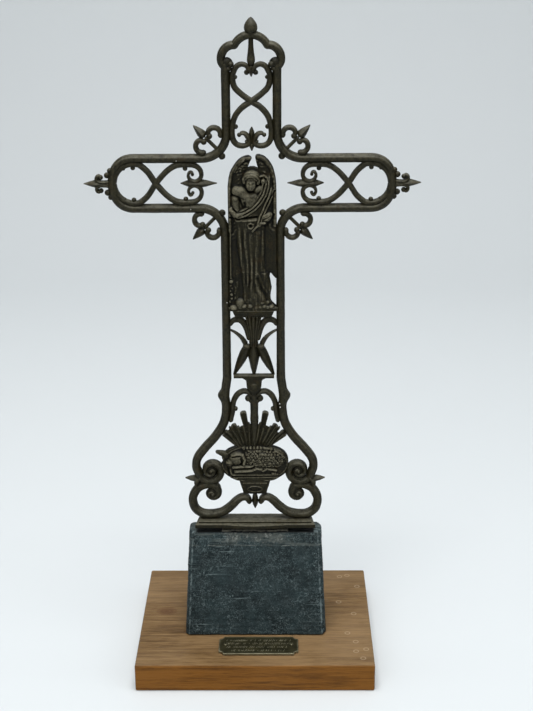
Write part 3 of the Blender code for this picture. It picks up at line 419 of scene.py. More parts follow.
def rough(x, y, seed, octaves=3):
    """Lattice values summed at double frequency and half height each time, about 0."""
    return sum((lattice(x * 2 ** k, y * 2 ** k, seed + k) - 0.5) / 2 ** k for k in range(octaves))


def rounded_plan(half_x, half_y, corner, count):
    """A rectangle with round corners as points and outward directions, walked by length."""
    straight_x, straight_y = 2 * (half_x - corner), 2 * (half_y - corner)
    arc = math.pi / 2 * corner
    lengths = np.array([straight_y / 2, arc, straight_x, arc, straight_y, arc, straight_x, arc,
                        straight_y / 2])
    ends = np.concatenate([[0], np.cumsum(lengths)])
    s = np.linspace(0, ends[-1], count, endpoint=False)
    angle = np.interp(s, ends, np.radians([0, 0, 90, 90, 180, 180, 270, 270, 360, 360]))
    corner_x = np.interp(s, ends, np.array([1, 1, 1, -1, -1, -1, -1, 1, 1, 1]) * (half_x - corner))
    corner_y = np.interp(s, ends, np.array([0, 1, 1, 1, 1, -1, -1, -1, -1, 0]) * (half_y - corner))
    out = np.stack([np.cos(angle), np.sin(angle)], 1)
    return np.stack([corner_x, corner_y], 1) + out * corner, out, s


def slate_skin():
    """Plans stacked up the wedge, each point moved along its outward direction by the stone's roughness.

    The move is level bedding lines, broad hollows, a fine pitting and, on the corners, chips; the rings
    above the easing shrink to a flat top.
    """
    count, levels = BLOCK_POINTS, BLOCK_LEVELS
    share = np.concatenate([np.linspace(0, 1, levels), np.ones(14)])
    inset = np.concatenate([np.zeros(levels), np.linspace(0, 1, 15)[1:]])
    height = BLOCK_HIGH[2] - BLOCK_LOW[2]
    rings, wear = [], []
    for up, close in zip(share, inset):
        half_x = BLOCK_HIGH[0] + (BLOCK_TOP_HALF[0] - BLOCK_HIGH[0]) * up
        half_y = BLOCK_HIGH[1] + (BLOCK_TOP_HALF[1] - BLOCK_HIGH[1]) * up
        plan, out, s = rounded_plan(half_x, half_y, min(BLOCK_CORNER, half_y * 0.7), count)
        z = BLOCK_LOW[2] + height * up
        eased = np.clip((up - 1 + BLOCK_EASING / height) * height / BLOCK_EASING, 0, 1)
        eased_foot = np.clip(1 - up * height / (0.6 * BLOCK_EASING), 0, 1)
        curl = BLOCK_EASING * (1 - math.sqrt(1 - eased ** 2)) + 0.5 * BLOCK_EASING * eased_foot ** 2
        x_mm, z_mm, s_mm = plan[:, 0] / MM, z / MM, s / MM
        beds = 0.22 * rough(s_mm * 0.05, np.full(count, z_mm * 0.75), 11, 4)
        hollows = 0.45 * rough(s_mm * 0.06, np.full(count, z_mm * 0.08), 21, 3)
        pits = 0.30 * rough(s_mm * 0.9, np.full(count, z_mm * 0.9), 31, 2)
        corner = 4 * np.abs(out[:, 0] * out[:, 1])
        chip = np.clip(rough(s_mm * 0.15, np.full(count, z_mm * 0.22), 41, 3) - 0.22, 0, 1) * 3.2
        edge = np.clip(corner + 0.9 * eased + 0.5 * eased_foot, 0, 1)
        arris = np.exp(-((np.abs(out[:, 0]) - 0.30) / 0.22) ** 2) * (out[:, 1] < 0)
        arris = arris + 0.8 * eased + 0.9 * eased_foot
        smear = np.clip(1.35 - np.abs(x_mm) / 24, 0, 1) * (plan[:, 1] < 0) * np.clip((z_mm - 90) / 5, 0, 1)
        lump = smear * (0.25 + 0.9 * rough(s_mm * 0.35, np.full(count, z_mm * 0.45), 51, 3))
        move = (beds + hollows + pits - 0.35 - chip * edge) * (1 - close)
        move = np.minimum(move + np.clip(lump, 0, 0.5) * (1 - close), 0.12)
        ring = plan + out * (move[:, None] * MM - curl)
        ring = ring * (1 - close) + np.stack([ring[:, 0] * 0.35, ring[:, 1] * 0.02], 1) * close
        rings.append(np.column_stack([ring, np.full(count, z - 0.1 * MM * close)]))
        waver = rough(s_mm * 0.4, np.full(count, z_mm * 0.4), 61, 2)
        wear.append(np.clip(arris * (0.7 + waver), 0, 1) * (1 - close))
    return tube(np.array(rings), np.array(wear))


def slate_material():
    """Blue-black stone: pale flecks, level hairlines, lighter arrises, mortar dust near the top, and painted
    shadow under the foot plate.
    """
    slate = Paint("rubbed_slate", roughness=0.62, gloss=0.18)
    across, z = slate.place("X").maths("ABSOLUTE"), slate.place("Z")
    cloud = slate.noise(55.0, 5.0, 0.62)
    stone = cloud.ramp((0.36, SLATE_DARK), (0.62, SLATE_BLUE))
    flecks = slate.noise(480.0, 4.0, 0.8, 1.8)
    fleck_share = patches(slate, (0.36, 0.22), (0.60, 0.85), 70.0, 3.0, 0.6)
    stone = (flecks.ramp((0.51, 0.0), (0.66, 1.0)) * fleck_share).over(stone, SLATE_PALE)
    veins = slate.noise(1.0, 5.0, 0.7, 0.5, (16.0, 16.0, 520.0))
    vein_mask = veins.ramp((0.61, 0.0), (0.67, 1.0)) * patches(slate, (0.44, 0.0), (0.6, 0.7), 38.0, 2.0)
    stone = vein_mask.over(stone, SLATE_PALE)
    rubbed = patches(slate, (0.35, 0.35), (0.6, 0.95), 260.0, 3.0)
    stone = (slate.worn().ramp((0.35, 0.0), (0.85, 1.0)) * rubbed).over(stone, SLATE_ARRIS)
    ragged = (slate.noise(130.0, 4.0, 0.7) - 0.5) * 0.018
    inside = ((across - SMEAR_HALF) * (-1 / (6 * MM))).clamped()
    above = ((z - SMEAR_FOOT + ragged) * (1 / (3.5 * MM))).clamped()
    smear = inside * above * patches(slate, (0.38, 0.05), (0.56, 0.95), 300.0, 4.0, 0.7)
    broken = patches(slate, (0.38, 0.0), (0.56, 0.75), 120.0, 3.0)
    line = (z - BED_LINE + ragged * 0.12).peak(1.8 / MM) * broken
    grit = patches(slate, (0.50, 0.0), (0.62, 1.0), 430.0, 4.0, 0.7)
    stone = smear.maths("MAXIMUM", line).over(stone, grit.over(MORTAR_DULL, MORTAR_GRIT))
    stone = patches(slate, (0.45, 0.0), (0.75, 0.5), 180.0, 4.0).over(stone, SLATE_DUST)
    streaks = patches(slate, (0.45, 0.0), (0.62, 0.6), 1.0, 4.0, 0.7, stretch=(60.0, 60.0, 500.0))
    stone = (((z - TOP_BAND) * (1 / MM)).clamped() * streaks).over(stone, SLATE_BAND)
    # Painted shadow: the top face under the foot plate, out to PLATE_SHADE either side, is darkened to
    # SLATE_SHADE.
    under = ((z - TOP_FACE) * (0.98 / MM)).clamped() * ((across - PLATE_SHADE) * (-0.7 / MM)).clamped()
    stone = under.over(stone, SLATE_SHADE)
    height = flecks * 0.5 + veins * 0.9 + slate.noise(320.0, 4.0, 0.65) * 0.8
    return slate.finish(height, 0.6, 0.0005, Base_Color=stone,
                        Roughness=cloud.ramp((0.3, 0.5), (0.7, 0.74)))


piece("slate_wedge", [slate_skin()], slate_material(), "stone_block", crease=60.0)


# CAST IRON
# The whole cross came out of one mould: flat behind, half-round bars in front, soft where they meet.
# Below: the finish it has, the drawing's millimetres laid on the CAD casting, and how its bars are made.
IRON_LOW, IRON_HIGH = (np.array(corner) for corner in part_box("iron_cross"))
IRON_BLACK = (0.0048, 0.0047, 0.0014)
IRON_BROWN = (0.0235, 0.0200, 0.0072)
IRON_RUBBED_AND_HIGHLIGHT = (0.185, 0.168, 0.112)
IRON_DUST_AND_TOP_LIGHT = (0.120, 0.113, 0.080)
IRON_DIRT_AND_SHADE = (0.0020, 0.0020, 0.0008)
IRON_RUST = (0.036, 0.022, 0.006)
IRON_CHIP = (0.55, 0.54, 0.50)
DRAWN_LOW, DRAWN_TIP, DRAWN_REACH = 102.6, 498.4, 123.2
AXIS = 379.8
BACK = 3.5
LIFT = 0.9
RAIL, RAIL_DEPTH = 6.4, 7.0
SCROLL = 6.8
INNER, INNER_DEPTH = 4.3, 5.2
CURL = 3.8
LEAF_DEPTH = 4.8
STEP = 0.7


def iron_material():
    """Olive-black skin, browner in blotches; dirt and painted shade in hollows, wear and painted highlight on
    crests.

    Dust and painted top light lie on what faces up. The attribute "worn" is a half on plain stretches, more on
    crests and less in hollows.
    """
    iron = Paint("cast_iron", roughness=0.5, metallic=0.05, gloss=0.2)
    grain = iron.noise(1300.0, 3.0, 0.6)
    pits = iron.noise(520.0, 4.0, 0.7)
    mottle = iron.noise(160.0, 6.0, 0.75) * 0.5 + pits * 0.5
    metal = mottle.ramp((0.40, IRON_BLACK), (0.60, IRON_BROWN))
    worn = iron.worn()
    # Dirt and painted shade: the hollows, where the worn value is low, are darkened.
    metal = worn.ramp((0.20, 0.95), (0.46, 0.0)).over(metal, IRON_DIRT_AND_SHADE)
    # Rubbed wear and painted highlight: the crests, where the worn value is high, are lightened.
    metal = (worn.ramp((0.54, 0.0), (0.92, 1.0)) *
             pits.ramp((0.38, 0.3), (0.58, 1.0))).over(metal, IRON_RUBBED_AND_HIGHLIGHT)
    # Dust and painted top light: what faces up, away from the hollows, is lightened in patches.
    upward = iron.facing("Z").ramp((0.25, 0.0), (0.9, 1.0)) * worn.ramp((0.3, 0.0), (0.5, 1.0))
    metal = (upward * patches(iron, (0.36, 0.15), (0.60, 0.8), 260.0, 4.0, 0.7)).over(metal, IRON_DUST_AND_TOP_LIGHT)
    metal = patches(iron, (0.56, 0.0), (0.70, 0.55), 140.0, 4.0, 0.7).over(metal, IRON_RUST)
    metal = worn.ramp((0.96, 0.0), (1.0, 1.0)).over(metal, IRON_CHIP)
    return iron.finish(grain * 0.35 + pits * 0.65, 0.8, 0.0005, Base_Color=metal,
                       Roughness=pits.ramp((0.3, 0.42), (0.7, 0.65)))


IRON = iron_material()


def casting(name, parts, crease=40.0):
    """Part of the one casting, as a piece of its own."""
    piece(name, parts, IRON, "iron_cross", crease)


def on_cross(x, y, z):
    """Millimetres on the drawing (z from the board's underside) laid on the casting in the frame."""
    return np.stack([x * IRON_HIGH[0] / DRAWN_REACH, y * MM,
                     IRON_LOW[2] + (z - DRAWN_LOW) * (IRON_HIGH[2] - IRON_LOW[2]) /
                     (DRAWN_TIP - DRAWN_LOW)], -1)


def walk(points, step=STEP):
    """The polyline resampled at equal steps of length."""
    points = np.array(points, float)
    keep = np.concatenate([[True], np.linalg.norm(np.diff(points, axis=0), axis=1) > 1e-6])
    points = points[keep]
    run = np.concatenate([[0], np.cumsum(np.linalg.norm(np.diff(points, axis=0), axis=1))])
    at = np.linspace(0, run[-1], max(int(run[-1] / step), 4) + 1)
    return np.stack([np.interp(at, run, points[:, 0]), np.interp(at, run, points[:, 1])], 1)


def through(points, step=STEP):
    """A smooth line through the points: on each span, the Catmull-Rom cubic."""
    p = np.array([points[0], *points, points[-1]], float)
    t = np.linspace(0, 1, 24, endpoint=False)[None, :, None]
    a, b, c, d = (q[:, None, :] for q in (p[:-3], p[1:-2], p[2:-1], p[3:]))
    spans = 0.5 * (2 * b + (c - a) * t + (2 * a - 5 * b + 4 * c - d) * t ** 2 +
                   (3 * b - a - 3 * c + d) * t ** 3)
    return walk(np.vstack([spans.reshape(-1, 2), p[-1:]]), step)


def arc(x, z, radius, start, end, end_radius=None):
    """Part of a circle, or of a spiral where the end radius differs, from +X towards +Z in degrees."""
    last = radius if end_radius is None else end_radius
    count = max(int(abs(math.radians(end - start)) * max(radius, last) / STEP), 8)
    angle = np.radians(np.linspace(start, end, count + 1))
    r = np.linspace(radius, last, count + 1)
    return np.stack([x + r * np.cos(angle), z + r * np.sin(angle)], 1)


def mirrored(line):
    return np.array(line, float) * (-1, 1)


def half_round(roundness, side):
    """A bar's section from its right side over the crest to its flat back, as shares of width and depth.

    The front is a superellipse of that roundness above straight sides; the back's two arrises are eased.
    """
    angle = np.linspace(0, math.pi, 13)
    across = 0.5 * np.sign(np.cos(angle)) * np.abs(np.cos(angle)) ** (2 / roundness)
    out = side + (1 - side) * np.abs(np.sin(angle)) ** (2 / roundness)
    back = [(-0.5, 0.12), (-0.44, 0.0), (0.0, 0.0), (0.44, 0.0), (0.5, 0.12)]
    return np.vstack([np.stack([across, out], 1), back])


SOFT = half_round(2.3, 0.30)
SHARP = half_round(1.45, 0.16)


def stepped(sides):
    """A section given by its right half as shares, mirrored, with the flat back added."""
    half = np.array(sides)
    return np.vstack([half, half[-2::-1] * (-1, 1), [(-0.44, 0.0), (0.0, 0.0), (0.44, 0.0)]])


RAIL_FRONT = stepped([(0.5, 0.14), (0.5, 0.42), (0.475, 0.58), (0.42, 0.69), (0.365, 0.725), (0.335, 0.745),
                      (0.305, 0.83), (0.24, 0.925), (0.13, 0.98), (0.0, 1.0)])
FLUTE = stepped([(0.5, 0.12), (0.5, 0.70), (0.47, 0.86), (0.40, 0.95), (0.32, 0.92), (0.20, 0.78),
                 (0.09, 0.70),
                 (0.0, 0.68)])


def bar(line, width, depth, back=BACK, section=SOFT, ends=(1.0, 1.0), seed=1):
    """A flat-backed bar: the section carried along the line, its width and depth given along the length.

    Each end is rounded over this many half widths by the curve of a quarter circle. The width and the
    depth waver by about two hundredths, as poured iron does.
    """
    line = np.array(line, float)
    step = np.linalg.norm(np.diff(line, axis=0), axis=1)
    run = np.concatenate([[0], np.cumsum(step)])
    total = run[-1]
    w_ends = np.atleast_1d(width).astype(float)
    first, last = ends[0] * w_ends[0] / 2, ends[1] * w_ends[-1] / 2
    turn = 1 - np.cos(np.linspace(0.12, math.pi / 2, 6))
    at = np.unique(np.concatenate([[0], turn * first, run[(run > first) & (run < total - last)],
                                   total - turn * last, [total]]).round(4))
    p = np.stack([np.interp(at, run, line[:, 0]), np.interp(at, run, line[:, 1])], 1)
    along = np.gradient(p, axis=0)
    along /= np.linalg.norm(along, axis=1)[:, None]
    across = np.stack([-along[:, 1], along[:, 0]], 1)
    share = at / total
    w = np.interp(share, np.linspace(0, 1, len(w_ends)), w_ends)
    d_few = np.atleast_1d(depth).astype(float)
    d = np.interp(share, np.linspace(0, 1, len(d_few)), d_few)
    begin = np.clip(at / max(first, 1e-6), 0, 1)
    finish = np.clip((total - at) / max(last, 1e-6), 0, 1)
    rounding = np.sqrt(np.clip(1 -
                               (1 - begin) ** 2, 0.002, 1)) * np.sqrt(np.clip(1 - (1 - finish) ** 2, 0.002, 1))
    waver = 1 + 0.045 * rough(at * 0.16, np.full(len(at), seed * 3.3), seed, 2)
    w, d = w * rounding * waver, d * rounding ** 0.6 * waver
    x = p[:, :1] + across[:, :1] * section[None, :, 0] * w[:, None]
    z = p[:, 1:] + across[:, 1:] * section[None, :, 0] * w[:, None]
    y = back - section[None, :, 1] * d[:, None]
    return tube(on_cross(x, y, z), np.repeat(0.36 + 0.22 * section[None, :, 1], len(at), 0))


def knob(x, z, radius, depth, back=BACK - LIFT, sides=18, wear=0.0):
    """A round button: an ellipsoid that starts at the back plane; its wear is added to the usual."""
    up = np.linspace(-0.98, 0.98, 11) * math.pi / 2
    around = np.linspace(0, 2 * math.pi, sides, endpoint=False)
    px = x + radius * np.cos(up)[:, None] * np.cos(around)
    pz = z + radius * np.cos(up)[:, None] * np.sin(around)
    py = back - depth / 2 - depth / 2 * np.repeat(np.sin(up)[:, None], sides, 1)
    worn = np.repeat(0.4 + 0.18 * np.clip(np.sin(up), 0, 1)[:, None], sides, 1) + wear
    return tube(on_cross(px, py, pz), worn)


def both(make, line, *sizes, **options):
    """The same bar on the right and on the left."""
    return [make(line, *sizes, **options),
            make(mirrored(line)[::-1], *[np.array(s)[::-1] if np.ndim(s) else s
                                                                       for s in sizes],
                                                **{**options, "ends": options.get("ends", (1, 1))[::-1]})]


# FOOT PLATE
# The casting's foot: a plate with a raised step along it, bulging in front, on a dished pad.
# The plate overhangs the pad at both ends, where it leaves a dark slot over the slate; painted shadow on the
# slate deepens it.
PLATE_LOW, PLATE_TOP, STEP_TOP, PAD_LOW = 105.4, 108.8, 110.2, 102.6
MORTAR_DARK = (0.035, 0.036, 0.032)
MORTAR = (0.115, 0.108, 0.085)


def eased_slab(outline, low, high, easing):
    """A slab between two heights over a closed outline, its upper and lower arrises rounded by the easing.

    The outline's points are moved inwards along their own normals as each arris curls over.
    """
    p = np.array(outline, float)
    along = np.roll(p, -1, axis=0) - np.roll(p, 1, axis=0)
    out = np.stack([along[:, 1], -along[:, 0]], 1) / np.linalg.norm(along, axis=1)[:, None]
    curl = np.linspace(0, math.pi / 2, 5)
    rise, inwards = easing * (1 - np.sin(curl)), easing * (1 - np.cos(curl))
    rings = [*zip((low + rise)[::-1], inwards[::-1]), *zip(high - rise, inwards)]
    skin = np.array([np.column_stack([p - out * inward, np.full(len(p), height)]) for height,
                     inward in rings])
    wear = np.array([[0.72 if inward > 0 and height > (low + high) / 2 else 0.45] * len(p)
                     for height, inward in rings])
    return skin, wear


def plate_outline(width, depth, taper, bulge, bulge_width, count=90):
    """A long plate seen from above: straight ends that taper to the back, a cosine bulge in front."""
    x = np.linspace(-width / 2, width / 2, count)
    inside = np.abs(x) < bulge_width / 2
    front = -depth / 2 - np.where(inside, bulge * np.cos(math.pi * x / bulge_width), 0)
    back_x = np.linspace(width / 2 - taper, -width / 2 + taper, count)
    ends = np.linspace(-depth / 2, depth / 2, 14)[1:-1]
    right = np.column_stack([np.linspace(width / 2, width / 2 - taper, 14)[1:-1], ends])
    left = right[::-1] * (-1, 1)
    return np.vstack([np.column_stack([x, front]), right,
                      np.column_stack([back_x, np.full(count, depth / 2)]), left])


def plate_skin(outline, low, high, easing, seed):
    """The eased slab with a waver of its surface, closed over the top."""
    rings, wear = eased_slab(outline, low, high, easing)
    rings[..., 2] += 0.16 * rough(rings[..., 0] * 0.2, rings[..., 1] * 0.2 + seed, seed, 3)
    shrink = np.linspace(1, 0.02, 9)[1:]
    middle_y = rings[..., 1].mean()
    for base, group in ((rings[-1], "top"), (rings[0], "foot")):
        more = np.array([np.column_stack([base[:, 0] * (0.35 + 0.65 * k),
                                          middle_y + (base[:, 1] - middle_y) * k,
                                          base[:, 2]]) for k in shrink])
        more_wear = np.full(more.shape[:2], 0.62 if group == "top" else 0.3)
        if group == "top":
            more[..., 2] += 0.14 * rough(more[..., 0] * 0.25, more[..., 1] * 0.25, seed + 5, 3)
            rings, wear = np.concatenate([rings, more]), np.concatenate([wear, more_wear])
        else:
            rings, wear = np.concatenate([more[::-1], rings]), np.concatenate([more_wear, wear])
    return tube(on_cross(rings[..., 0], rings[..., 1], rings[..., 2]), wear)


foot_parts = [plate_skin(plate_outline(94.5, 19.5, 3.0, 2.4, 50), PLATE_LOW, PLATE_TOP, 0.7, 3),
              plate_skin(plate_outline(89, 14.5, 0.6, 0, 50), PLATE_TOP - 0.6, STEP_TOP, 0.6, 7),
              plate_skin(plate_outline(50, 16.0, 0, -2.2, 50), PAD_LOW, PLATE_LOW + 0.8, 0.4, 9)]
casting("foot_plate", foot_parts, crease=50.0)


def mortar_material():
    """Grey-brown cement, gritty and dull."""
    mortar = Paint("old_mortar", roughness=0.85, gloss=0.2)
    grit = mortar.noise(500.0, 4.0, 0.7)
    return mortar.finish(grit, 0.7, 0.0006, Base_Color=grit.ramp((0.35, MORTAR_DARK), (0.65, MORTAR)))


def bed(x_start, x_end, thick, seed):
    """A ragged strip of mortar on the block's top, under the plate."""
    x = np.linspace(x_start, x_end, 46)
    near = -8.6 + 1.6 * rough(x * 0.35, x * 0 + seed, seed, 3)
    far = 6.5 + 1.2 * rough(x * 0.35, x * 0 + seed + 9, seed, 3)
    outline = np.vstack([np.column_stack([x, near]), np.column_stack([x, far])[::-1]])
    return plate_skin(outline, 101.9, 102.6 + thick, 0.5, seed)


piece("mortar_bed", [bed(-26.4, 26.0, 0.9, 15)], mortar_material(), "stone_block", crease=50.0)


# RAILS
# The outline of the cross: one rail on each side, from the cap down, out along the arm and back,
# down the shaft, flaring at the foot and ending in a tight volute beside the medallion.
UPPER_RAIL, LOWER_RAIL, ARM_RAIL, SHOULDER = 18.3, 20.4, 18.45, 18.1
ARM_END, ARM_END_ROUND = 102.2, 16.5


def rail_line():
    """Straight runs, quarter circles at the shoulders, a superellipse at the arm's end, flare and spiral."""
    shoulder_up = arc(UPPER_RAIL + SHOULDER, AXIS + ARM_RAIL + SHOULDER, SHOULDER, 180, 270)
    shoulder_low = arc(LOWER_RAIL + SHOULDER, AXIS - ARM_RAIL - SHOULDER, SHOULDER, 90, 180)
    angle = np.radians(np.linspace(90, -90, 73))
    c, s = np.cos(angle), np.sin(angle)
    end = np.stack([ARM_END - ARM_END_ROUND + ARM_END_ROUND * np.abs(c) ** 0.88,
                    AXIS + ARM_RAIL * np.sign(s) * np.abs(s) ** 0.88], 1)
    flare = through([(20.6, 228), (22.4, 214), (21.6, 204), (23.4, 192), (29.8, 180.6), (38.4, 170.4),
                     (44.4, 162), (45.9, 155), (44.2, 147.2)])
    volute = arc(34.4, 151.2, 10.6, -22, -285, end_radius=5.6)
    snail = arc(34.4, 151.2, 5.6, -285, -640, end_radius=1.2)
    return walk(np.vstack([[(UPPER_RAIL, 468.5)], shoulder_up, end, shoulder_low, flare[:-8],
                           volute[4:], snail[1:]]))


rail_widths = [RAIL] * 13 + [SCROLL] * 4 + [SCROLL * 0.84, SCROLL * 0.36]
rail_parts = both(bar, rail_line(), rail_widths, [RAIL_DEPTH] * 17 + [RAIL_DEPTH * 1.02, RAIL_DEPTH * 1.12],
                  section=RAIL_FRONT, seed=2)
for side in (1, -1):
    rail_parts.append(knob(side * 34.4, 151.2, 5.2, RAIL_DEPTH * 0.86, back=BACK - LIFT / 2,
                           sides=28, wear=-0.16))
    rail_parts.append(knob(side * 34.2, 151.3, 1.8, RAIL_DEPTH * 1.2, back=BACK - LIFT / 2))
    spur = [(side * 22.6, 206.8), (side * 24.0, 214.0), (side * 22.2, 221.2)]
    rail_parts.append(bar(walk(spur), [3.6, 5.6, 8.2, 5.6, 3.6], RAIL_DEPTH * 0.9,
                          back=BACK - LIFT / 2, seed=4))
    for x, z, angle in ((UPPER_RAIL + SHOULDER, AXIS + ARM_RAIL + SHOULDER, 228),
                        (LOWER_RAIL + SHOULDER, AXIS - ARM_RAIL - SHOULDER, 138)):
        reach = SHOULDER + RAIL * 0.6
        rail_parts.append(knob(side * (x + reach * math.cos(math.radians(angle))),
                               z + reach * math.sin(math.radians(angle)), 2.6, LEAF_DEPTH))
PALE_CHIPS = [(19.6, 208.5, 0.55), (20.0, 205.6, 0.6), (-54.7, 397.2, 0.35), (-45.0, 361.4, 0.4),
              (-19.6, 290.0, 0.4)]
for x, z, size in PALE_CHIPS:
    rail_parts.append(knob(x, z, size, 0.5, back=BACK - RAIL_DEPTH + 0.35, sides=8, wear=1.0))
casting("rails", rail_parts)


# FOOT SCROLLS
# Two scrolls carry the cross: each curls under the volute, rests on the foot plate and climbs to the
# middle, where it dips in a lobe beside a hanging drop. A leaf point stands out over each scroll.
scroll_line = walk(np.vstack([arc(33.6, 131.4, 1.2, 500, 152, end_radius=4.8),
                              through([(29.6, 134.2), (31.0, 137.0), (34.0, 138.7), (38.4, 138.8),
                                       (45, 135.4),
                                       (49.2, 127), (47.6, 118.4), (41.6, 113.6), (34, 113.0), (26, 114.8),
                                       (19.6, 119.4), (14.4, 124.8), (10.6, 127.4), (7.4, 127.6),
                                       (5.4, 125.8),
                                       (4.7, 123.6), (4.9, 121.9)])[1:]]))
scroll_widths = [SCROLL * part for part in (0.34, 0.62, 0.84, 1, 1, 1, 1, 1, 1, 1, 1, 0.98, 0.94, 0.8, 0.6)]
foot_scrolls = both(bar, scroll_line, scroll_widths,
                    [RAIL_DEPTH * 1.12] + [RAIL_DEPTH * 1.02] * 12 + [RAIL_DEPTH * 0.9],
                    back=BACK + LIFT / 3, section=RAIL_FRONT, ends=(1.0, 1.0), seed=5)
leaf_point = [(36, 141.8), (42, 143.0), (48, 143.5), (55.0, 143.5)]
foot_scrolls += both(bar, walk(leaf_point), [4.4, 5.8, 6.4, 5.6, 4.0, 0.8], [6.4, 6.2, 5.6, 4.4, 1.2],
                     section=SHARP,
                     ends=(1.0, 0.5), seed=7)
for side in (1, -1):
    foot_scrolls.append(knob(side * 33.5, 131.4, 5.4, RAIL_DEPTH * 0.88, back=BACK - LIFT / 2,
                             sides=28, wear=-0.16))
    foot_scrolls.append(knob(side * 33.3, 131.3, 1.9, RAIL_DEPTH * 1.2, back=BACK - LIFT / 2))
    foot_scrolls.append(bar(walk([(side * 42.6, 146.0), (side * 46.4, 140.6), (side * 45.4, 137.4)]),
                            [2.0, 4.0, 2.0],
                            RAIL_DEPTH * 0.92, back=BACK - LIFT, seed=8))
foot_scrolls.append(bar(walk([(0, 131), (0, 117.6)]), [3.4, 4.4, 5.4, 3.8, 0.7], [6.8, 6.8, 6.2, 4.2, 1.4],
                        back=BACK - LIFT * 1.2, section=SHARP, ends=(1.0, 0.4), seed=9))
casting("foot_scrolls", foot_scrolls)


# CAP
# Three lobes arch over the head's rails and end in round curls; a bud stands on top and a
# spindle hangs inside.
cap_parts = [bar(arc(0, 472.9, 13.1, 16, 164), 5.8, RAIL_DEPTH, back=BACK + LIFT / 4,
                 section=RAIL_FRONT, seed=11)]
lobe = walk(through([(8.6, 478.6), (11.6, 478.9), (15.4, 478.4), (18.8, 476.0), (20.9, 472.2),
                     (21.2, 468.0), (19.6, 464.4), (16.6, 462.7), (14.0, 463.8)]))
cap_parts += both(bar, lobe, [5.8, 6.1, 6.2, 6.2, 6.0, 5.2, 3.6], [RAIL_DEPTH] * 6 + [RAIL_DEPTH * 1.08],
                  back=BACK + LIFT / 3, section=RAIL_FRONT, seed=12)
for side in (1, -1):
    cap_parts.append(knob(side * 17.2, 466.4, 4.4, RAIL_DEPTH * 0.96, back=BACK - LIFT / 3,
                          sides=24, wear=-0.2))
    cap_parts.append(knob(side * 14.4, 465.8, 2.3, RAIL_DEPTH * 1.14, back=BACK - LIFT / 3))


def turned(profile):
    """A form turned about the upright middle line of the rails, through (height, radius) steps, smoothed."""
    steps = through(profile, 0.35)
    around = np.linspace(0, 2 * math.pi, 28, endpoint=False)
    r = np.clip(steps[:, 1:], 0.05, None)
    middle = BACK - RAIL_DEPTH / 2
    z = np.repeat(steps[:, :1], len(around), 1)
    wear = np.repeat(0.4 + 0.2 * np.clip(r / r.max(), 0, 1), len(around), 1)
    return tube(on_cross(r * np.cos(around), middle + r * np.sin(around), z), wear)


cap_parts.append(turned([(486.8, 3.0), (487.9, 3.5), (488.3, 3.5), (488.6, 4.1), (489.4, 4.6), (490.8, 4.8),
                         (492.8, 4.55),
                         (494.8, 3.65), (496.6, 2.3), (497.8, 1.15), (498.4, 0.1)]))
cap_parts.append(turned([(463.4, 0.3), (464.6, 1.5), (466.2, 2.4), (468.2, 2.9), (470.4, 2.8), (474.0, 2.3),
                         (479.0, 1.85), (486.5, 1.7)]))
casting("cap_and_bud", cap_parts)


# HEAD LOOPS
# Two bars loop and cross between the head's rails; at the top they curl in to a small trefoil, and
# at the bottom they cradle a lily.
head_loop = through([(0.4, 460.6), (3.4, 464.4), (7.0, 465.6), (10.8, 463.4), (13.3, 457.6), (12.3, 450.2),
                     (7.6, 444.9), (0.0, 439.3), (-6.4, 435.2), (-11.6, 429.0), (-14.0, 421.0),
                     (-13.9, 413.4),
                     (-11.6, 409.0), (-7.4, 407.3), (-3.2, 408.2), (-0.6, 411.2)])
loop_widths = [INNER * 0.7, INNER, INNER, INNER, INNER, INNER, INNER * 0.8]
head_parts = [bar(head_loop, loop_widths, INNER_DEPTH, back=BACK - LIFT, seed=13),
              bar(mirrored(head_loop), loop_widths, INNER_DEPTH * 1.02, back=BACK - LIFT * 1.05, seed=14),
              bar(walk([(0, 464.8), (0, 456.6)]), [3.6, 4.2, 3.2, 0.7], [5.6, 5.4, 3.6, 1.2],
                  back=BACK - LIFT * 1.3, section=SHARP, ends=(1.0, 0.4), seed=15),
              bar(walk([(0, 403.6), (0, 409.4)]), [0.9, 3.4, 4.2], [2.2, 5.0, 5.6], back=BACK - LIFT * 1.4,
                  section=SHARP, ends=(0.4, 1.0), seed=16),
              bar(walk([(0, 409.6), (0, 421.0)]), [3.2, 2.2, 3.0, 4.2, 3.0, 0.7],
                  [5.4, 4.4, 4.6, 4.8, 3.4, 1.2],
                  back=BACK - LIFT * 1.4, section=SHARP, ends=(1.0, 0.4), seed=17)]
petal = through([(0.8, 407.6), (1.8, 411.6), (3.8, 415.2), (6.2, 416.6), (8.6, 415.8)])
head_parts += both(bar, petal, [4.0, 4.2, 4.0, 3.4, 2.8], [4.8, 5.0, 4.4], back=BACK - LIFT * 1.6,
                   section=SHARP, seed=18)
inner_petal = through([(1.4, 408.6), (3.4, 410.6), (4.8, 410.0)])
head_parts += both(bar, inner_petal, [2.4, 2.6, 2.0], 4.2, back=BACK - LIFT * 1.6, seed=19)
for side in (1, -1):
    for x, z, r in ((3.2, 459.9, 1.9), (2.0, 461.6, 1.8), (11.4, 456.6, 1.6), (11.5, 421.4, 1.8),
                    (9.0, 415.4, 1.6)):
        head_parts.append(knob(side * x, z, r, LEAF_DEPTH * 0.9))
casting("head_loops", head_parts)


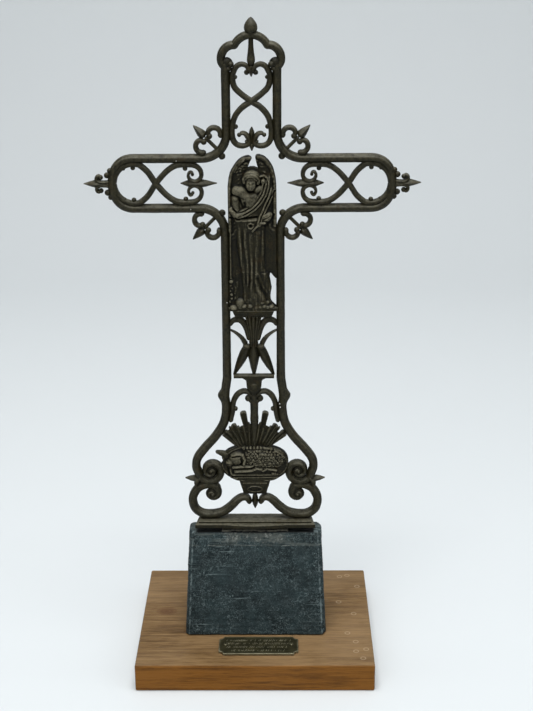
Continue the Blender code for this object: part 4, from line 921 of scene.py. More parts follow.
# ARM ORNAMENT
# Each arm repeats the crossed loops, ending near the middle in two volutes with a long spike between
# them, and outside in a finial of leaves and buds.
arm_loop = walk(np.vstack([through([(43.2, 386.2), (43.9, 388.0), (45.4, 388.2), (46.5, 385.6),
                                    (45.2, 382.7),
                                    (41.8, 381.3), (38.4, 382.8), (36.9, 386.0), (37.9, 390.0),
                                    (41.0, 392.8),
                                    (46, 393.8), (55, 393.2), (62.4, 388.6), (70.2, 379.8), (75.6, 371.6),
                                    (80.4, 366.8)])[:-3], arc(86.2, AXIS, 14.7, -106, 4)]))
arm_widths = [CURL * 0.5, CURL * 0.72, CURL * 0.92, INNER, INNER, INNER, INNER, INNER, INNER, INNER]


def flipped(line):
    return np.stack([line[:, 0], 2 * AXIS - line[:, 1]], 1)


for side, name in ((1, "arm_ornament_right"), (-1, "arm_ornament_left")):
    parts = []
    turn = np.array([side, 1])
    for line, lift in ((arm_loop, 1.0), (flipped(arm_loop), 1.06)):
        parts.append(bar(line * turn, arm_widths, INNER_DEPTH, back=BACK - LIFT * lift, seed=21 + side))
    spike = walk([(25.6, AXIS), (52.4, AXIS)])
    parts.append(bar(spike * turn, [0.7, 2.6, 5.0, 6.2, 5.2, 6.4, 3.6, 0.7],
                     [1.2, 3.4, 5.0, 5.4, 5.0, 5.2, 3.4, 1.2],
                     back=BACK - LIFT * 1.4, section=SHARP, ends=(0.4, 0.4), seed=23))
    finial = walk([(103.4, AXIS), (DRAWN_REACH, AXIS)])
    parts.append(bar(finial * turn, [6.0, 3.8, 3.4, 5.0, 5.8, 4.2, 2.4, 0.6],
                     [5.6, 4.6, 4.8, 5.4, 4.8, 3.4, 1.2],
                     back=BACK - LIFT * 1.4, section=SHARP, ends=(1.0, 0.4), seed=24))
    for flip in (1, -1):
        curl = through([(103.6, AXIS + flip * 1.6), (107.4, AXIS + flip * 1.3), (111.0, AXIS + flip * 1.4),
                        (113.4, AXIS + flip * 3.2), (112.8, AXIS + flip * 5.6), (110.6, AXIS + flip * 6.0)])
        parts.append(bar(curl * turn, [2.8, 2.4, 2.6, 2.8, 2.2], [4.8, 5.2, 4.6],
                         back=BACK - LIFT * 1.3, seed=25))
        for x, z, r in ((110.4, 4.9, 1.9), (105.6, 6.4, 2.3), (103.4, 9.8, 2.1), (43.4, 6.8, 1.3),
                        (48.6, 11.3, 1.8),
                        (86.6, 11.9, 1.8), (93.4, 11.2, 1.3)):
            parts.append(knob(side * x, AXIS + flip * z, r, LEAF_DEPTH * 0.92, back=BACK - LIFT * 1.2))
    casting(name, parts)


# CORNER SCROLLS
# Outside each inner corner two small C-scrolls meet under a pointed leaf, on a stem from the rail.
CURL_RADIUS = 5.7
CORNER_INSET = SHOULDER * 0.27

corner_parts = []
upper_curl = np.vstack([arc(-4.4, 4.5, 4.6, 215, 20), arc(-4.4, 4.5, 4.6, 20, -22, end_radius=3.7)[1:]])
for side in (1, -1):
    for up in (1, -1):
        rail_x = UPPER_RAIL if up > 0 else LOWER_RAIL
        middle = np.array([rail_x + SHOULDER - CORNER_INSET,
                           up * (ARM_RAIL + SHOULDER - CORNER_INSET) + AXIS])
        turn = np.array([side, 1])
        tilt = np.array([1, up])
        for line, lift in ((upper_curl, 1.0), (upper_curl[:, ::-1], 1.06)):
            corner_parts.append(bar((middle + walk(line) * tilt) * turn,
                                    [CURL, CURL, CURL * 1.05, CURL * 0.9],
                                    INNER_DEPTH, back=BACK - LIFT * lift, seed=27 + up))
            end = (middle + line[-1] * tilt) * turn
            corner_parts.append(knob(end[0], end[1], 2.2, INNER_DEPTH * 1.04, back=BACK - LIFT))
        root = CURL_RADIUS * 0.40
        stem = walk([(-CURL_RADIUS * 1.15, -CURL_RADIUS * 1.15), (root, root)])
        leaf = walk([(root, root), (root + 8.4, root + 8.4)])
        corner_parts.append(bar((middle + stem * tilt) * turn, 2.6, 3.6, back=BACK - LIFT * 1.6, seed=29))
        corner_parts.append(bar((middle + leaf * tilt) * turn, [5.0, 6.8, 6.2, 4.6, 2.8, 0.6],
                                [5.2, 5.6, 5.2, 4.2, 2.8, 1.2], back=BACK - LIFT * 1.3, section=SHARP,
                                ends=(1.0, 0.4), seed=31))
casting("corner_scrolls", corner_parts)


# PLANT
# Under the figure: a moulded cornice, a fluted capital with arching leaves, a collar, three long
# hanging leaves, and a ledge over a cup with a round boss.


def flat_moulding(half_top, half_foot, high, low, depth, back, easing=0.5, steps=None):
    """A plate in the plane of the cross whose front steps out by the (height share, depth) pairs."""
    pairs = steps or [(0.0, 1.0), (1.0, 1.0)]
    at = np.array([p[0] for p in pairs])
    out = np.array([p[1] for p in pairs]) * depth
    level = np.linspace(0, 1, 26)
    half = half_foot + (half_top - half_foot) * level
    front = np.interp(level, at, out)
    x = np.linspace(-1, 1, 61)
    px = half[:, None] * x
    near_side = np.clip((1 - np.abs(x)) * half[:, None] / easing, 0, 1)
    near_end = np.clip(np.minimum(level, 1 - level)[:, None] * (high - low) / easing, 0, 1)
    curl = np.sqrt(1 - (1 - near_side) ** 2) * np.sqrt(1 - (1 - near_end) ** 2)
    height = front[:, None] - easing * (1 - curl)
    z = low + (high - low) * np.repeat(level[:, None], len(x), 1)
    return relief_skin(px, z, height, back)


def relief_skin(x, z, height, back, wear=None):
    """A closed slab over a grid: the front at these heights over the flat back, with side walls."""
    rows, columns = x.shape
    front = on_cross(x, back - height, z).reshape(-1, 3)
    edge = np.concatenate([on_cross(x[:, 0], np.full(rows, back), z[:, 0]),
                           on_cross(x[:, -1], np.full(rows, back), z[:, -1])])
    left, right = rows * columns + np.arange(rows), rows * columns + rows + np.arange(rows)
    first = np.arange(rows) * columns
    last = first + columns - 1
    lower, upper = slice(0, -1), slice(1, None)
    faces = grid_faces(rows, columns).tolist()
    faces += np.stack([right[lower], left[lower], left[upper], right[upper]], 1).tolist()
    faces += np.stack([left[lower], first[lower], first[upper], left[upper]], 1).tolist()
    faces += np.stack([last[lower], right[lower], right[upper], last[upper]], 1).tolist()
    faces.append([left[0], right[0], *np.arange(columns)[::-1].tolist()])
    top = (rows - 1) * columns
    faces.append([*(top + np.arange(columns)).tolist(), right[-1], left[-1]])
    points = np.vstack([front, edge])
    worn = np.full(x.shape, 0.5) if wear is None else wear
    return points, faces, np.concatenate([worn.reshape(-1), np.full(2 * rows, 0.4)])


plant_parts = [
    flat_moulding(18.6, 18.4, 285.8, 283.2, RAIL_DEPTH * 0.86, BACK - LIFT * 1.4),
    flat_moulding(15.6, 13.6, 283.6, 277.6, RAIL_DEPTH, BACK - LIFT * 1.2, 0.4,
                  [(0.0, 0.62), (0.28, 0.66), (0.36, 0.80), (0.60, 0.84), (0.66, 1.0), (1.0, 1.0)]),
    flat_moulding(15.4, 15.4, 231.6, 229.6, RAIL_DEPTH * 0.9, BACK - LIFT * 1.7, 0.5),
]
for x, wide in ((0.0, 3.6), (3.2, 3.0), (-3.2, 3.0), (5.4, 2.0), (-5.4, 2.0)):
    flute = through([(x, 279.0), (x * 0.78, 272), (x * 0.52, 264), (x * 0.5, 254)])
    plant_parts.append(bar(flute, [wide, wide, wide * 0.8, wide * 0.7], [5.4, 5.6, 5.2],
                           back=BACK - LIFT * 1.5,
                           seed=33))
leaf_arch = through([(18.4, 270.6), (15.2, 274.6), (10.4, 275.2), (6.6, 271.6), (4.4, 266.0), (3.4, 259.0)])
plant_parts += both(bar, leaf_arch, [3.2, 4.2, 4.8, 5.0, 4.6, 3.2], [4.6, 5.0, 5.4], back=BACK - LIFT * 1.1,
                    section=RAIL_FRONT, seed=35)
leaf_blade = through([(18.2, 267.2), (13.6, 264.6), (9.0, 260.4), (5.6, 254.6)])
plant_parts += both(bar, leaf_blade, [1.4, 2.4, 3.6, 4.4], [3.4, 4.4, 4.8], back=BACK - LIFT,
                    section=SHARP, seed=36)
hanging = through([(4.0, 255.4), (7.0, 248.4), (10.6, 240.4), (15.4, 230.2)])
plant_parts += both(bar, hanging, [5.6, 7.4, 6.8, 4.6, 1.6], [5.2, 5.2, 4.4, 2.6], back=BACK - LIFT * 0.8,
                    section=SHARP, seed=37)
plant_parts.append(bar(walk([(0, 256), (0, 229.4)]), [6.4, 8.8, 8.8, 6.6, 4.2, 1.6],
                       [5.4, 5.8, 5.6, 4.8, 3.0],
                       back=BACK - LIFT * 0.7, section=SHARP, seed=38))
cup_level = np.linspace(0, 1, 40)
cup_half = np.interp(cup_level, [0, 0.10, 0.24, 0.45, 0.74, 0.84, 0.92, 1.0],
                     [0.5, 3.0, 5.1, 5.7, 6.0, 7.0, 9.2, 14.2])
cup_x = cup_half[:, None] * np.linspace(-1, 1, 49)
cup_z = 215.6 + 14.4 * np.repeat(cup_level[:, None], 49, 1)
cup_form = 3.2 + 2.8 * np.sqrt(np.clip(1 - np.linspace(-1, 1, 49) ** 2, 0, 1)) * np.ones((40, 1))
plant_parts.append(relief_skin(cup_x, cup_z, cup_form, BACK - LIFT * 1.7))
plant_parts.append(knob(0, 222.6, 4.2, RAIL_DEPTH * 1.12, back=BACK - LIFT * 0.6, sides=28))
for side in (1, -1):
    plant_parts.append(bar(walk([(side * 2.6, 254.0), (side * 8.2, 254.6)]), [3.2, 3.8, 3.6],
                           [6.4, 6.8, 6.2],
                           back=BACK - LIFT * 1.3, seed=40))
casting("plant_ornament", plant_parts)


# FAN
# Flutes rise like a shell from the medallion's top, five of them long with rounded ends, over a thin
# web; two small arches stand above them on a middle stem.
WEB_TIP = [-25.0, -21.0, -17.5, -12.6, -8.4, -4.4, 0.0, 4.4, 8.4, 12.4, 16.4, 17.2, 19.4, 22.6]
WEB_TOP = [181.6, 185.6, 187.6, 187.4, 190.4, 190.8, 191.4, 190.8, 190.4, 187.6, 188.6, 184.6, 182.6, 182.6]
web_share = np.linspace(0, 1, 30)[:, None]
web_top_x = np.interp(np.linspace(0, 1, 141), np.linspace(0, 1, len(WEB_TIP)), WEB_TIP)
web_top_z = np.interp(np.linspace(0, 1, 141), np.linspace(0, 1, len(WEB_TOP)), WEB_TOP)
web_root_x = np.linspace(-13.0, 12.0, 141)
web_x = web_root_x + (web_top_x - web_root_x) * web_share
web_z = 171.0 + (web_top_z - 171.0) * web_share
fluting = 2.5 + 1.7 * (1 - np.abs(np.sin(np.linspace(0,
                                                     13 * math.pi, 141)))) * np.clip(web_share * 3, 0.3, 1)
fan_parts = [relief_skin(web_x, web_z, fluting, BACK - LIFT * 1.8, 0.18 + 0.14 * fluting)]
for root, tip, wide in (((3.0, 171.5), (8.9, 200.8), 4.6), ((6.4, 171.5), (16.8, 190.0), 4.2),
                        ((9.4, 171.0), (23.8, 184.0), 4.8)):
    fan_parts += both(bar, walk([root, tip]), [2.4, 3.0, wide * 0.9, wide * 1.1], [3.8, 4.6, 5.6],
                      back=BACK - LIFT * 1.5, section=FLUTE, ends=(1.0, 0.5), seed=41)
for root, tip in (((1.5, 171.5), (4.6, 191.4)), ((4.8, 171.5), (12.9, 188.4)),
                  ((8.2, 171.0), (19.6, 187.8))):
    fan_parts += both(bar, walk([root, tip]), [1.2, 1.6, 1.9], [3.6, 4.4], back=BACK - LIFT * 1.6,
                      section=SHARP, seed=42)
fan_parts.append(bar(walk([(0, 171), (0, 217.4)]), [2.0, 2.8, 4.4, 5.8, 6.4, 6.0, 6.4, 6.8, 5.0],
                     [4.6, 5.0, 5.8, 5.6, 5.4], back=BACK - LIFT * 1.2, seed=43))
small_arch = through([(1.2, 213.2), (4.4, 216.6), (8.6, 217.4), (13.0, 214.6), (16.0, 208.6), (16.9, 200.6),
                      (18.6, 192.0)])
fan_parts += both(bar, small_arch, [3.4, 4.0, 4.2, 4.2, 4.2, 3.8], 5.6, back=BACK - LIFT * 0.9,
                  section=RAIL_FRONT,
                  seed=44)
for side in (1, -1):
    for x, z, r in ((4.4, 212.0, 2.7), (14.4, 203.4, 1.8), (2.4, 209.8, 1.8)):
        fan_parts.append(knob(side * x, z, r, 5.4, back=BACK - LIFT))
casting("fan", fan_parts)


# WINGED FIGURE
# The angel stands in front of raised wings that fill the shaft, cast in relief with the frame. The face is
# a plain calm one. The hair, the sash across the breast and the gown's folds follow the photo.
FIGURE_BACK = BACK - LIFT
WING_BACK = FIGURE_BACK - 0.1
FIGURE_PLATE = 3.4
CARVING_STEP = 0.28
FILLET = 0.3
FORM_FOOT = 3.2


def nearest(x, z, line):
    """Distance to a polyline, positive on its left, and how far along it (mm) the nearest place is."""
    best = np.full(x.shape, 1e9)
    side = np.ones(x.shape)
    along = np.zeros(x.shape)
    run = 0.0
    for (ax, az), (bx, bz) in zip(line, line[1:]):
        dx, dz = bx - ax, bz - az
        length = math.hypot(dx, dz)
        t = np.clip(((x - ax) * dx + (z - az) * dz) / length ** 2, 0, 1)
        d = np.hypot(x - ax - t * dx, z - az - t * dz)
        closer = d < best
        best = np.where(closer, d, best)
        side = np.where(closer, np.sign(dx * (z - az) - dz * (x - ax)), side)
        along = np.where(closer, run + t * length, along)
        run += length
    return best * side, along


def swell(x, z, place, across, up, turn=0.0):
    """An ellipsoid's height, from 1 at its middle to 0 at its rim; turned by degrees."""
    c, s = math.cos(math.radians(turn)), math.sin(math.radians(turn))
    u, v = (x - place[0]) * c + (z - place[1]) * s, (z - place[1]) * c - (x - place[0]) * s
    return np.sqrt(np.clip(1 - (u / across) ** 2 - (v / up) ** 2, 0, 1))


def spot(x, z, place, across, up=None):
    """A soft bump of height 1."""
    return np.exp(-((x - place[0]) / across) ** 2 - ((z - place[1]) / (up or across)) ** 2)


def stroke(x, z, line, width):
    """A soft line of height 1; its width is where it has fallen to about a third."""
    return np.exp(-(nearest(x, z, line)[0] / width) ** 2)


def rib(x, z, line, half_width):
    """A half-round rib of height 1 along a line."""
    return np.sqrt(np.clip(1 - (nearest(x, z, line)[0] / half_width) ** 2, 0, 1))


def blend(first, second, soft=0.28):
    """The higher of two surfaces, with a fillet where they meet."""
    return soft * np.logaddexp(first / soft, second / soft)


def carve(x, z, height, rows):
    """Adds forms to a relief in their order.

    A rib is a half-round along a line and a boss an ellipsoid (place, across, up, turn), both laid over the
    relief with a fillet; a ridge and a groove are soft lines, and a dimple a soft hollow.
    """
    for kind, where, size, rise in rows:
        if kind == "rib":
            height = blend(height, FORM_FOOT + rise * rib(x, z, where, size), FILLET)
        elif kind == "boss":
            height = blend(height, FORM_FOOT + rise * swell(x, z, where, *size), FILLET)
        elif kind == "ridge":
            height = height + rise * stroke(x, z, where, size)
        elif kind == "groove":
            height = height - rise * stroke(x, z, where, size)
        else:
            height = height - rise * spot(x, z, where, *size)
    return height


def wings(x, z):
    """Both wings: a round rim, a groove inside it, then rows of overlapping feathers."""
    height = np.full(x.shape, FIGURE_PLATE)
    left_rim = [(-16.5, 345), (-16.6, 378), (-15.0, 387), (-10.8, 394.4), (-6.4, 398.2), (-1.6, 399.0)]
    right_rim = [(16.5, 349), (16.4, 378), (15.4, 387), (12.6, 393.6), (9.0, 398.0), (4.6, 400.0)]
    for rim, side in ((left_rim, -1), (right_rim, 1)):
        off, along = nearest(x, z, rim)
        off = off * side
        feather = 0.5 + 0.5 * np.cos(2 * math.pi * (along - 0.9 * off) / 3.1)
        inner = np.clip(1 - ((off - 4.4) / 3.4) ** 2, 0, 1)
        height = blend(height, 2.4 + (2.3 + 0.9 * feather) * np.sqrt(inner))
        height = blend(height, 2.6 + 3.6 * rib(x, z, rim, 1.7))
        height -= 1.1 * np.exp(-((off - 2.1) / 0.55) ** 2)
    height = carve(x, z, height, [
        ("ridge", [(-11.8, 388.6), (-9.2, 393.2), (-6.0, 397.0)], 1.0, 2.2),
        ("ridge", [(-8.4, 390.0), (-7.0, 392.8), (-4.6, 395.2)], 0.8, 1.2),
        ("ridge", [(13.4, 372), (14.0, 381), (13.0, 388.6)], 0.8, 1.3),
        ("dimple", (-12.4, 383.0), (1.9, 4.6), 2.2),
        ("dimple", (11.6, 388.0), (1.5, 2.8), 1.6), ("dimple", (8.0, 391.0), (4.4, 1.3), 1.5),
        ("groove", [(4.8, 396.4), (4.4, 391.6)], 0.9, 1.0)])
    return height + 0.5 * rough(x * 0.55, z * 0.55, 71, 2)


def head(x, z, height):
    """The bowed head: an egg with brow, eyes, nose, lips and chin, hair over it and locks at both sides."""
    middle, lean = (-0.9, 380.4), math.radians(5)
    u = (x - middle[0]) * math.cos(lean) - (z - middle[1]) * math.sin(lean)
    v = (z - middle[1]) * math.cos(lean) + (x - middle[0]) * math.sin(lean)
    height = carve(x, z, height, [("dimple", (-1.0, 374.4), (3.6, 1.5), 2.4),
                                  ("boss", (-0.2, 385.4), (6.4, 5.2), 6.8),
                                  ("rib", [(-4.4, 386.0), (-5.6, 383.6), (-5.2, 381.6)], 2.0, 4.2),
                                  ("rib", [(3.6, 386.0), (4.9, 383.2), (4.6, 381.0)], 2.0, 4.2)])
    strands = np.cos(2 * math.pi * (np.hypot(x - middle[0], (z - middle[1]) * 0.9)
                                    + 0.5 * rough(x * 0.5, z * 0.5, 73, 2)) / 1.6)
    height += 0.3 * strands * np.clip((height - 6) / 1.5, 0, 1) * (z > 378)
    face = 4.4 + 5.3 * swell(u, v, (0, 0.2), 4.6, 6.6)
    face += 0.30 * (stroke(u, v, [(-2.4, 1.5), (-0.5, 1.3)], 0.45) + stroke(u, v,
                                                                            [(0.5, 1.3), (2.4, 1.5)], 0.45))
    for side in (-1, 1):
        face -= 0.62 * spot(u, v, (side * 1.6, 0.62), 0.85, 0.6)
        face += 0.34 * spot(u, v, (side * 1.6, 0.45), 0.62, 0.30)
        face += 0.22 * spot(u, v, (side * 2.2, -1.4), 1.1)
    face += 0.80 * stroke(u, v, [(0, 1.0), (0, -1.0)], 0.48) + 0.45 * spot(u, v, (0, -1.15), 0.62, 0.45)
    face += 0.34 * spot(u, v, (0, -2.15), 0.85, 0.26) + 0.34 * spot(u, v, (0, -2.85), 0.70, 0.28)
    face -= 0.34 * stroke(u, v, [(-1.05, -2.48), (1.05, -2.48)], 0.17)
    face += 0.36 * spot(u, v, (0, -4.0), 1.0, 0.8)
    inside = np.clip((1 - np.hypot(u / 4.5, (v + 0.9) / 6.0)) * 3, 0, 1)
    height = height * (1 - inside) + face * inside
    return carve(x, z, height, [
        ("ridge", [(-3.4, 386.6), (-0.8, 387.4), (2.2, 386.8)], 1.0, 0.9),
        ("groove", [(-3.6, 384.6), (-1.2, 385.4), (1.4, 385.2), (3.0, 384.2)], 0.6, 0.8),
        ("rib", [(6.0, 385.6), (8.6, 386.4), (11.2, 384.6), (11.9, 380.8), (10.8, 376.8)], 0.9, 4.4),
        ("boss", (8.2, 382.2), (2.3, 2.4), 5.6),
        ("groove", [(9.9, 384.2), (10.2, 381.2), (8.8, 379.2)], 0.5, 1.4),
        ("dimple", (6.2, 380.2), (1.0, 1.3), 1.4)])


def pleats(x, z, height, line, half, count, deep, reach):
    """Cloth laid along a line in rounded pleats, standing this far out, its ends faded over this length."""
    off, along = nearest(x, z, line)
    window = np.clip(1 - (off / half) ** 2, 0, 1) * np.clip(along / 6, 0,
                                                            1) * np.clip((reach - along) / 7, 0, 1)
    folds = (0.5 + 0.5 * np.cos(2 * math.pi * (off / (2 * half) * count + 0.012 * along))) ** 0.8
    return blend(height, FORM_FOOT + (3.9 + deep * folds) * np.sqrt(window), 0.16)


def upper_body(x, z, height):
    """Shoulders, arms and breast, the sash's pleats, the lifted sleeve with its hand, and the girdle."""
    height = carve(x, z, height, [
        ("boss", (0.6, 361.0), (14.0, 16.0), 3.6), ("boss", (-2.0, 367.4), (9.4, 8.2, 28), 5.6),
        ("rib", [(-11.2, 374.8), (-8.4, 374.4), (-5.4, 372.4), (-3.0, 369.6)], 4.2, 6.0),
        ("rib", [(3.2, 375.2), (6.2, 376.8), (8.6, 374.2)], 2.9, 4.8),
        ("groove", [(-14.6, 371.8), (-11.0, 370.4), (-8.6, 367.8), (-6.8, 362.6)], 0.9, 2.2),
        ("rib", [(-12.4, 369.0), (-12.0, 362.0), (-11.0, 357.6)], 3.3, 4.9),
        ("groove", [(-5.6, 366.2), (-5.2, 363.2), (-4.0, 362.4)], 1.2, 2.4),
        ("rib", [(-15.2, 361.2), (-12.6, 357.2), (-8.0, 357.6)], 2.5, 5.6),
        ("groove", [(-14.2, 362.0), (-11.2, 359.4), (-7.4, 359.8)], 0.55, 2.0)])
    height = pleats(x, z, height, [(10.6, 387), (10.0, 378), (8.4, 372.4), (5.2, 367.0), (0.6, 362.0),
                                   (-4.4, 358.6),
                                   (-10.2, 356.0)], 4.5, 4, 2.0, 50)
    height = pleats(x, z, height, [(14.6, 379), (12.4, 371), (9.6, 364), (6.2, 356), (4.6, 350.4)],
                    3.3, 3, 1.9, 60)
    return carve(x, z, height, [
        ("groove", [(16.4, 375.0), (12.9, 369.4), (9.6, 362.8)], 0.65, 2.2),
        ("dimple", (12.8, 362.6), (2.2, 2.4), 1.2),
        ("boss", (10.4, 355.5), (5.4, 3.6, 28), 6.0), ("ridge", [(7.4, 356.4), (12.4, 358.9)], 0.6, 0.7),
        ("groove", [(7.6, 353.8), (13.2, 356.4)], 0.5, 1.0),
        ("groove", [(15.6, 357.4), (13.2, 352.0), (9.2, 348.8)], 0.9, 2.2),
        ("rib", [(9.0, 351.4), (5.8, 351.2)], 1.4, 6.0),
        ("rib", [(4.8, 350.2), (2.4, 347.8), (0.0, 345.2)], 0.9, 6.2),
        ("groove", [(-17.2, 355.2), (-12.0, 354.2), (-5.0, 354.8), (3.2, 355.6)], 0.8, 2.2),
        ("ridge", [(-12.0, 352.6), (-5.0, 352.9), (3.0, 353.2)], 0.8, 0.9),
        ("ridge", [(-2.8, 350.4), (-1.0, 351.2),
                                                                              (0.6, 350.0)], 0.5, 1.2),
        ("ridge", [(0.7, 348.4), (-0.8, 346.9), (-2.8, 347.6), (-3.4, 349.4)], 0.5, 1.2),
        ("dimple", (-1.3, 349.0), (0.9, 0.9), 1.4)])


GOWN_FOLDS = [
    ("ridge", [(-9.9, 350), (-9.6, 340), (-9.0, 330), (-8.1, 318), (-7.4, 308),
               (-6.6, 300), (-6.2, 292)], 1.6, 1.5),
    ("groove", [(-7.4, 348), (-6.9, 335), (-6.1, 325), (-5.4, 315), (-5.0, 305)], 0.9, 1.5),
    ("ridge", [(-5.6, 346), (-5.3, 335), (-4.9, 325), (-4.2, 310), (-3.1, 300), (-2.6, 292)], 1.4, 1.1),
    ("groove", [(-3.2, 344), (-2.9, 332), (-2.4, 322), (-1.8, 316), (-2.2, 307),
                (-3.4, 300), (-3.8, 293)], 0.9, 1.7),
    ("ridge", [(-1.2, 342), (-1.4, 330), (-0.8, 318), (-0.6, 308), (-1.0, 302), (0.6, 294)], 1.4, 1.4),
    ("groove", [(1.2, 340), (1.2, 326), (1.4, 314), (1.0, 306), (1.8, 298)], 0.9, 1.4),
    ("ridge", [(3.6, 344), (3.2, 330), (3.4, 318), (2.8, 308), (4.4, 299), (7.4, 293)], 1.6, 1.4),
    ("groove", [(3.6, 309), (6.2, 301), (9.4, 296), (11.2, 292)], 1.4, 3.2),
    ("ridge", [(6.8, 344), (7.6, 332), (7.9, 324), (7.3, 317), (8.6, 313),
               (11.2, 307), (12.4, 300)], 1.6, 1.5),
    ("groove", [(5.6, 342), (5.4, 328), (5.2, 316), (7.2, 308), (9.8, 301)], 0.9, 1.3),
    ("dimple", (10.8, 326.0), (1.2, 2.2), 1.8), ("dimple", (9.5, 317.0), (1.0, 2.0), 2.0),
    ("groove", [(-12.9, 346), (-12.6, 334), (-10.9, 325), (-9.3, 315), (-8.7, 305),
                (-8.2, 298), (-8.0, 292)], 1.0, 2.0)]


def gown(x, z, height):
    """The skirt from girdle to hem: a round leg form with long folds that lean outwards as they fall."""
    level = [283, 291, 300, 308, 316, 325, 343, 353]
    left = np.interp(z, level, [-9.2, -8.6, -8.4, -9.2, -10.2, -11.6, -13.4, -14.0])
    right = np.interp(z, level, [14.2, 13.6, 14.4, 12.8, 10.0, 9.0, 9.8, 10.4])
    t = (2 * x - left - right) / (right - left)
    skirt = 3.0 + 3.9 * np.clip(1 - t * t, 0, 1) ** 0.42
    folded = carve(x + 0.9 * rough(x * 0.12, z * 0.05, 86, 2), z, skirt, GOWN_FOLDS)
    fade = np.clip((353 - z) / 8, 0, 1)
    fold_depth = 0.48 * (1 + 0.9 * rough(x * 0.11, z * 0.045, 88, 2))
    skirt = skirt + fold_depth * (folded - skirt) * fade + 0.55 * rough(x * 0.8, z * 0.07, 85, 3)
    return blend(height, np.where(z < 355, skirt, 0), 0.22)


def ground(x, z, height):
    """Beside and under the gown: a hanging sheet, a cord with a tassel of pearls, a tree stump and rocks."""
    sheet = 4.5 + 0.4 * rough(x * 1.1, z * 0.05, 87, 2)
    height = blend(height, np.where((x > 9.5) & (z < 349), sheet, 0), 0.2)
    stump = np.clip(1 - np.abs((x + 12.4) / 2.8) ** 3, 0, 1) * np.clip((330 - z) / 18, 0, 1)
    height = blend(height, 2.8 + (2.2 + 1.6 * rough(x * 0.6, z * 0.3, 81, 3)) * stump, 0.3)
    pearls = [(-16.1, 306.2, 1.7), (-16.6, 303.0, 1.0), (-15.6, 300.6, 0.9), (-16.1, 295.8, 1.2),
              (-16.0, 292.8, 1.1),
              (-16.8, 298.4, 0.9), (-17.4, 290.2, 0.9), (-12.6, 301.2, 1.0), (-12.0, 305.4, 1.0),
              (-13.6, 297.0, 1.0)]
    rocks = [(-14.4, 286.0, 2.2), (-6.9, 287.2, 1.9), (-2.2, 287.2, 1.9), (2.3, 286.2, 1.7),
             (5.2, 286.6, 1.7),
             (8.2, 287.0, 1.7), (10.6, 286.2, 1.6), (13.6, 286.6, 1.6), (16.2, 285.6, 1.2),
             (2.6, 289.6, 1.5),
             (6.8, 289.8, 1.7), (10.6, 290.0, 1.3), (-4.6, 290.2, 1.3)]
    rows = [("rib", [(-16.3, 352), (-16.4, 330), (-16.4, 308.4)], 0.65, 2.8),
            ("boss", (-9.8, 288.6), (4.2, 5.0), 4.6),
            ("dimple", (-9.6, 296.6), (1.3, 3.4), 1.6)]
    rows += [("boss", (cx, cz), (1.15 * r, r), 2.3 * r) for cx, cz, r in pearls]
    rows += [("boss", (cx, cz), (1.5 * r, 1.1 * r), 2.5 * r) for cx, cz, r in rocks]
    return carve(x, z, height, rows)


def smoothed(height, times=1):
    """Each height averaged with its neighbours along both axes."""
    for _pass in range(2 * times):
        padded = np.vstack([height[:1], height, height[-1:]])
        height = ((padded[:-2] + 2 * padded[1:-1] + padded[2:]) / 4).T
    return height


def figure(x, z):
    """The whole carving's height over its back, smoothed by one pass along each axis."""
    height = ground(x, z, wings(x, z))
    height = gown(x, z, height)
    height = upper_body(x, z, height) if z.max() > 344 else height
    height = head(x, z, height) if z.max() > 370 else height
    return smoothed(height + 0.14 * rough(x * 1.4, z * 1.4, 91, 2))


def carved_part(low, high, left, right, carving, back):
    """One slab of a carving: rows between two heights, each from its left edge to its right edge."""
    levels = np.linspace(low, high, int((high - low) / CARVING_STEP) + 2)
    left_x, right_x = left(levels), right(levels)
    columns = int(np.max(right_x - left_x) / CARVING_STEP) + 2
    x = left_x[:, None] + (right_x - left_x)[:, None] * np.linspace(0, 1, columns)
    z = np.repeat(levels[:, None], columns, 1)
    height = carving(x, z)
    rim = np.minimum(x - left_x[:, None], right_x[:, None] - x)
    height -= 0.8 * np.clip(1 - rim / 0.9, 0, 1) ** 2
    # Over the gown, between the rocks and the girdle, the worn value is lowered a little, so the iron there is
    # darker.
    gown_darkening = 0.055 * np.clip((350 - z) / 10, 0, 1) * np.clip((z - 292) / 8, 0, 1)
    worn = np.clip(0.49 - gown_darkening + 0.8 * (height - smoothed(height, 12)) + 0.06 *
                   (height - 5.6), 0, 0.95)
    return relief_skin(x, z, height, back, worn)


def edge_at(levels, places):
    return lambda z: np.interp(z, levels, places)


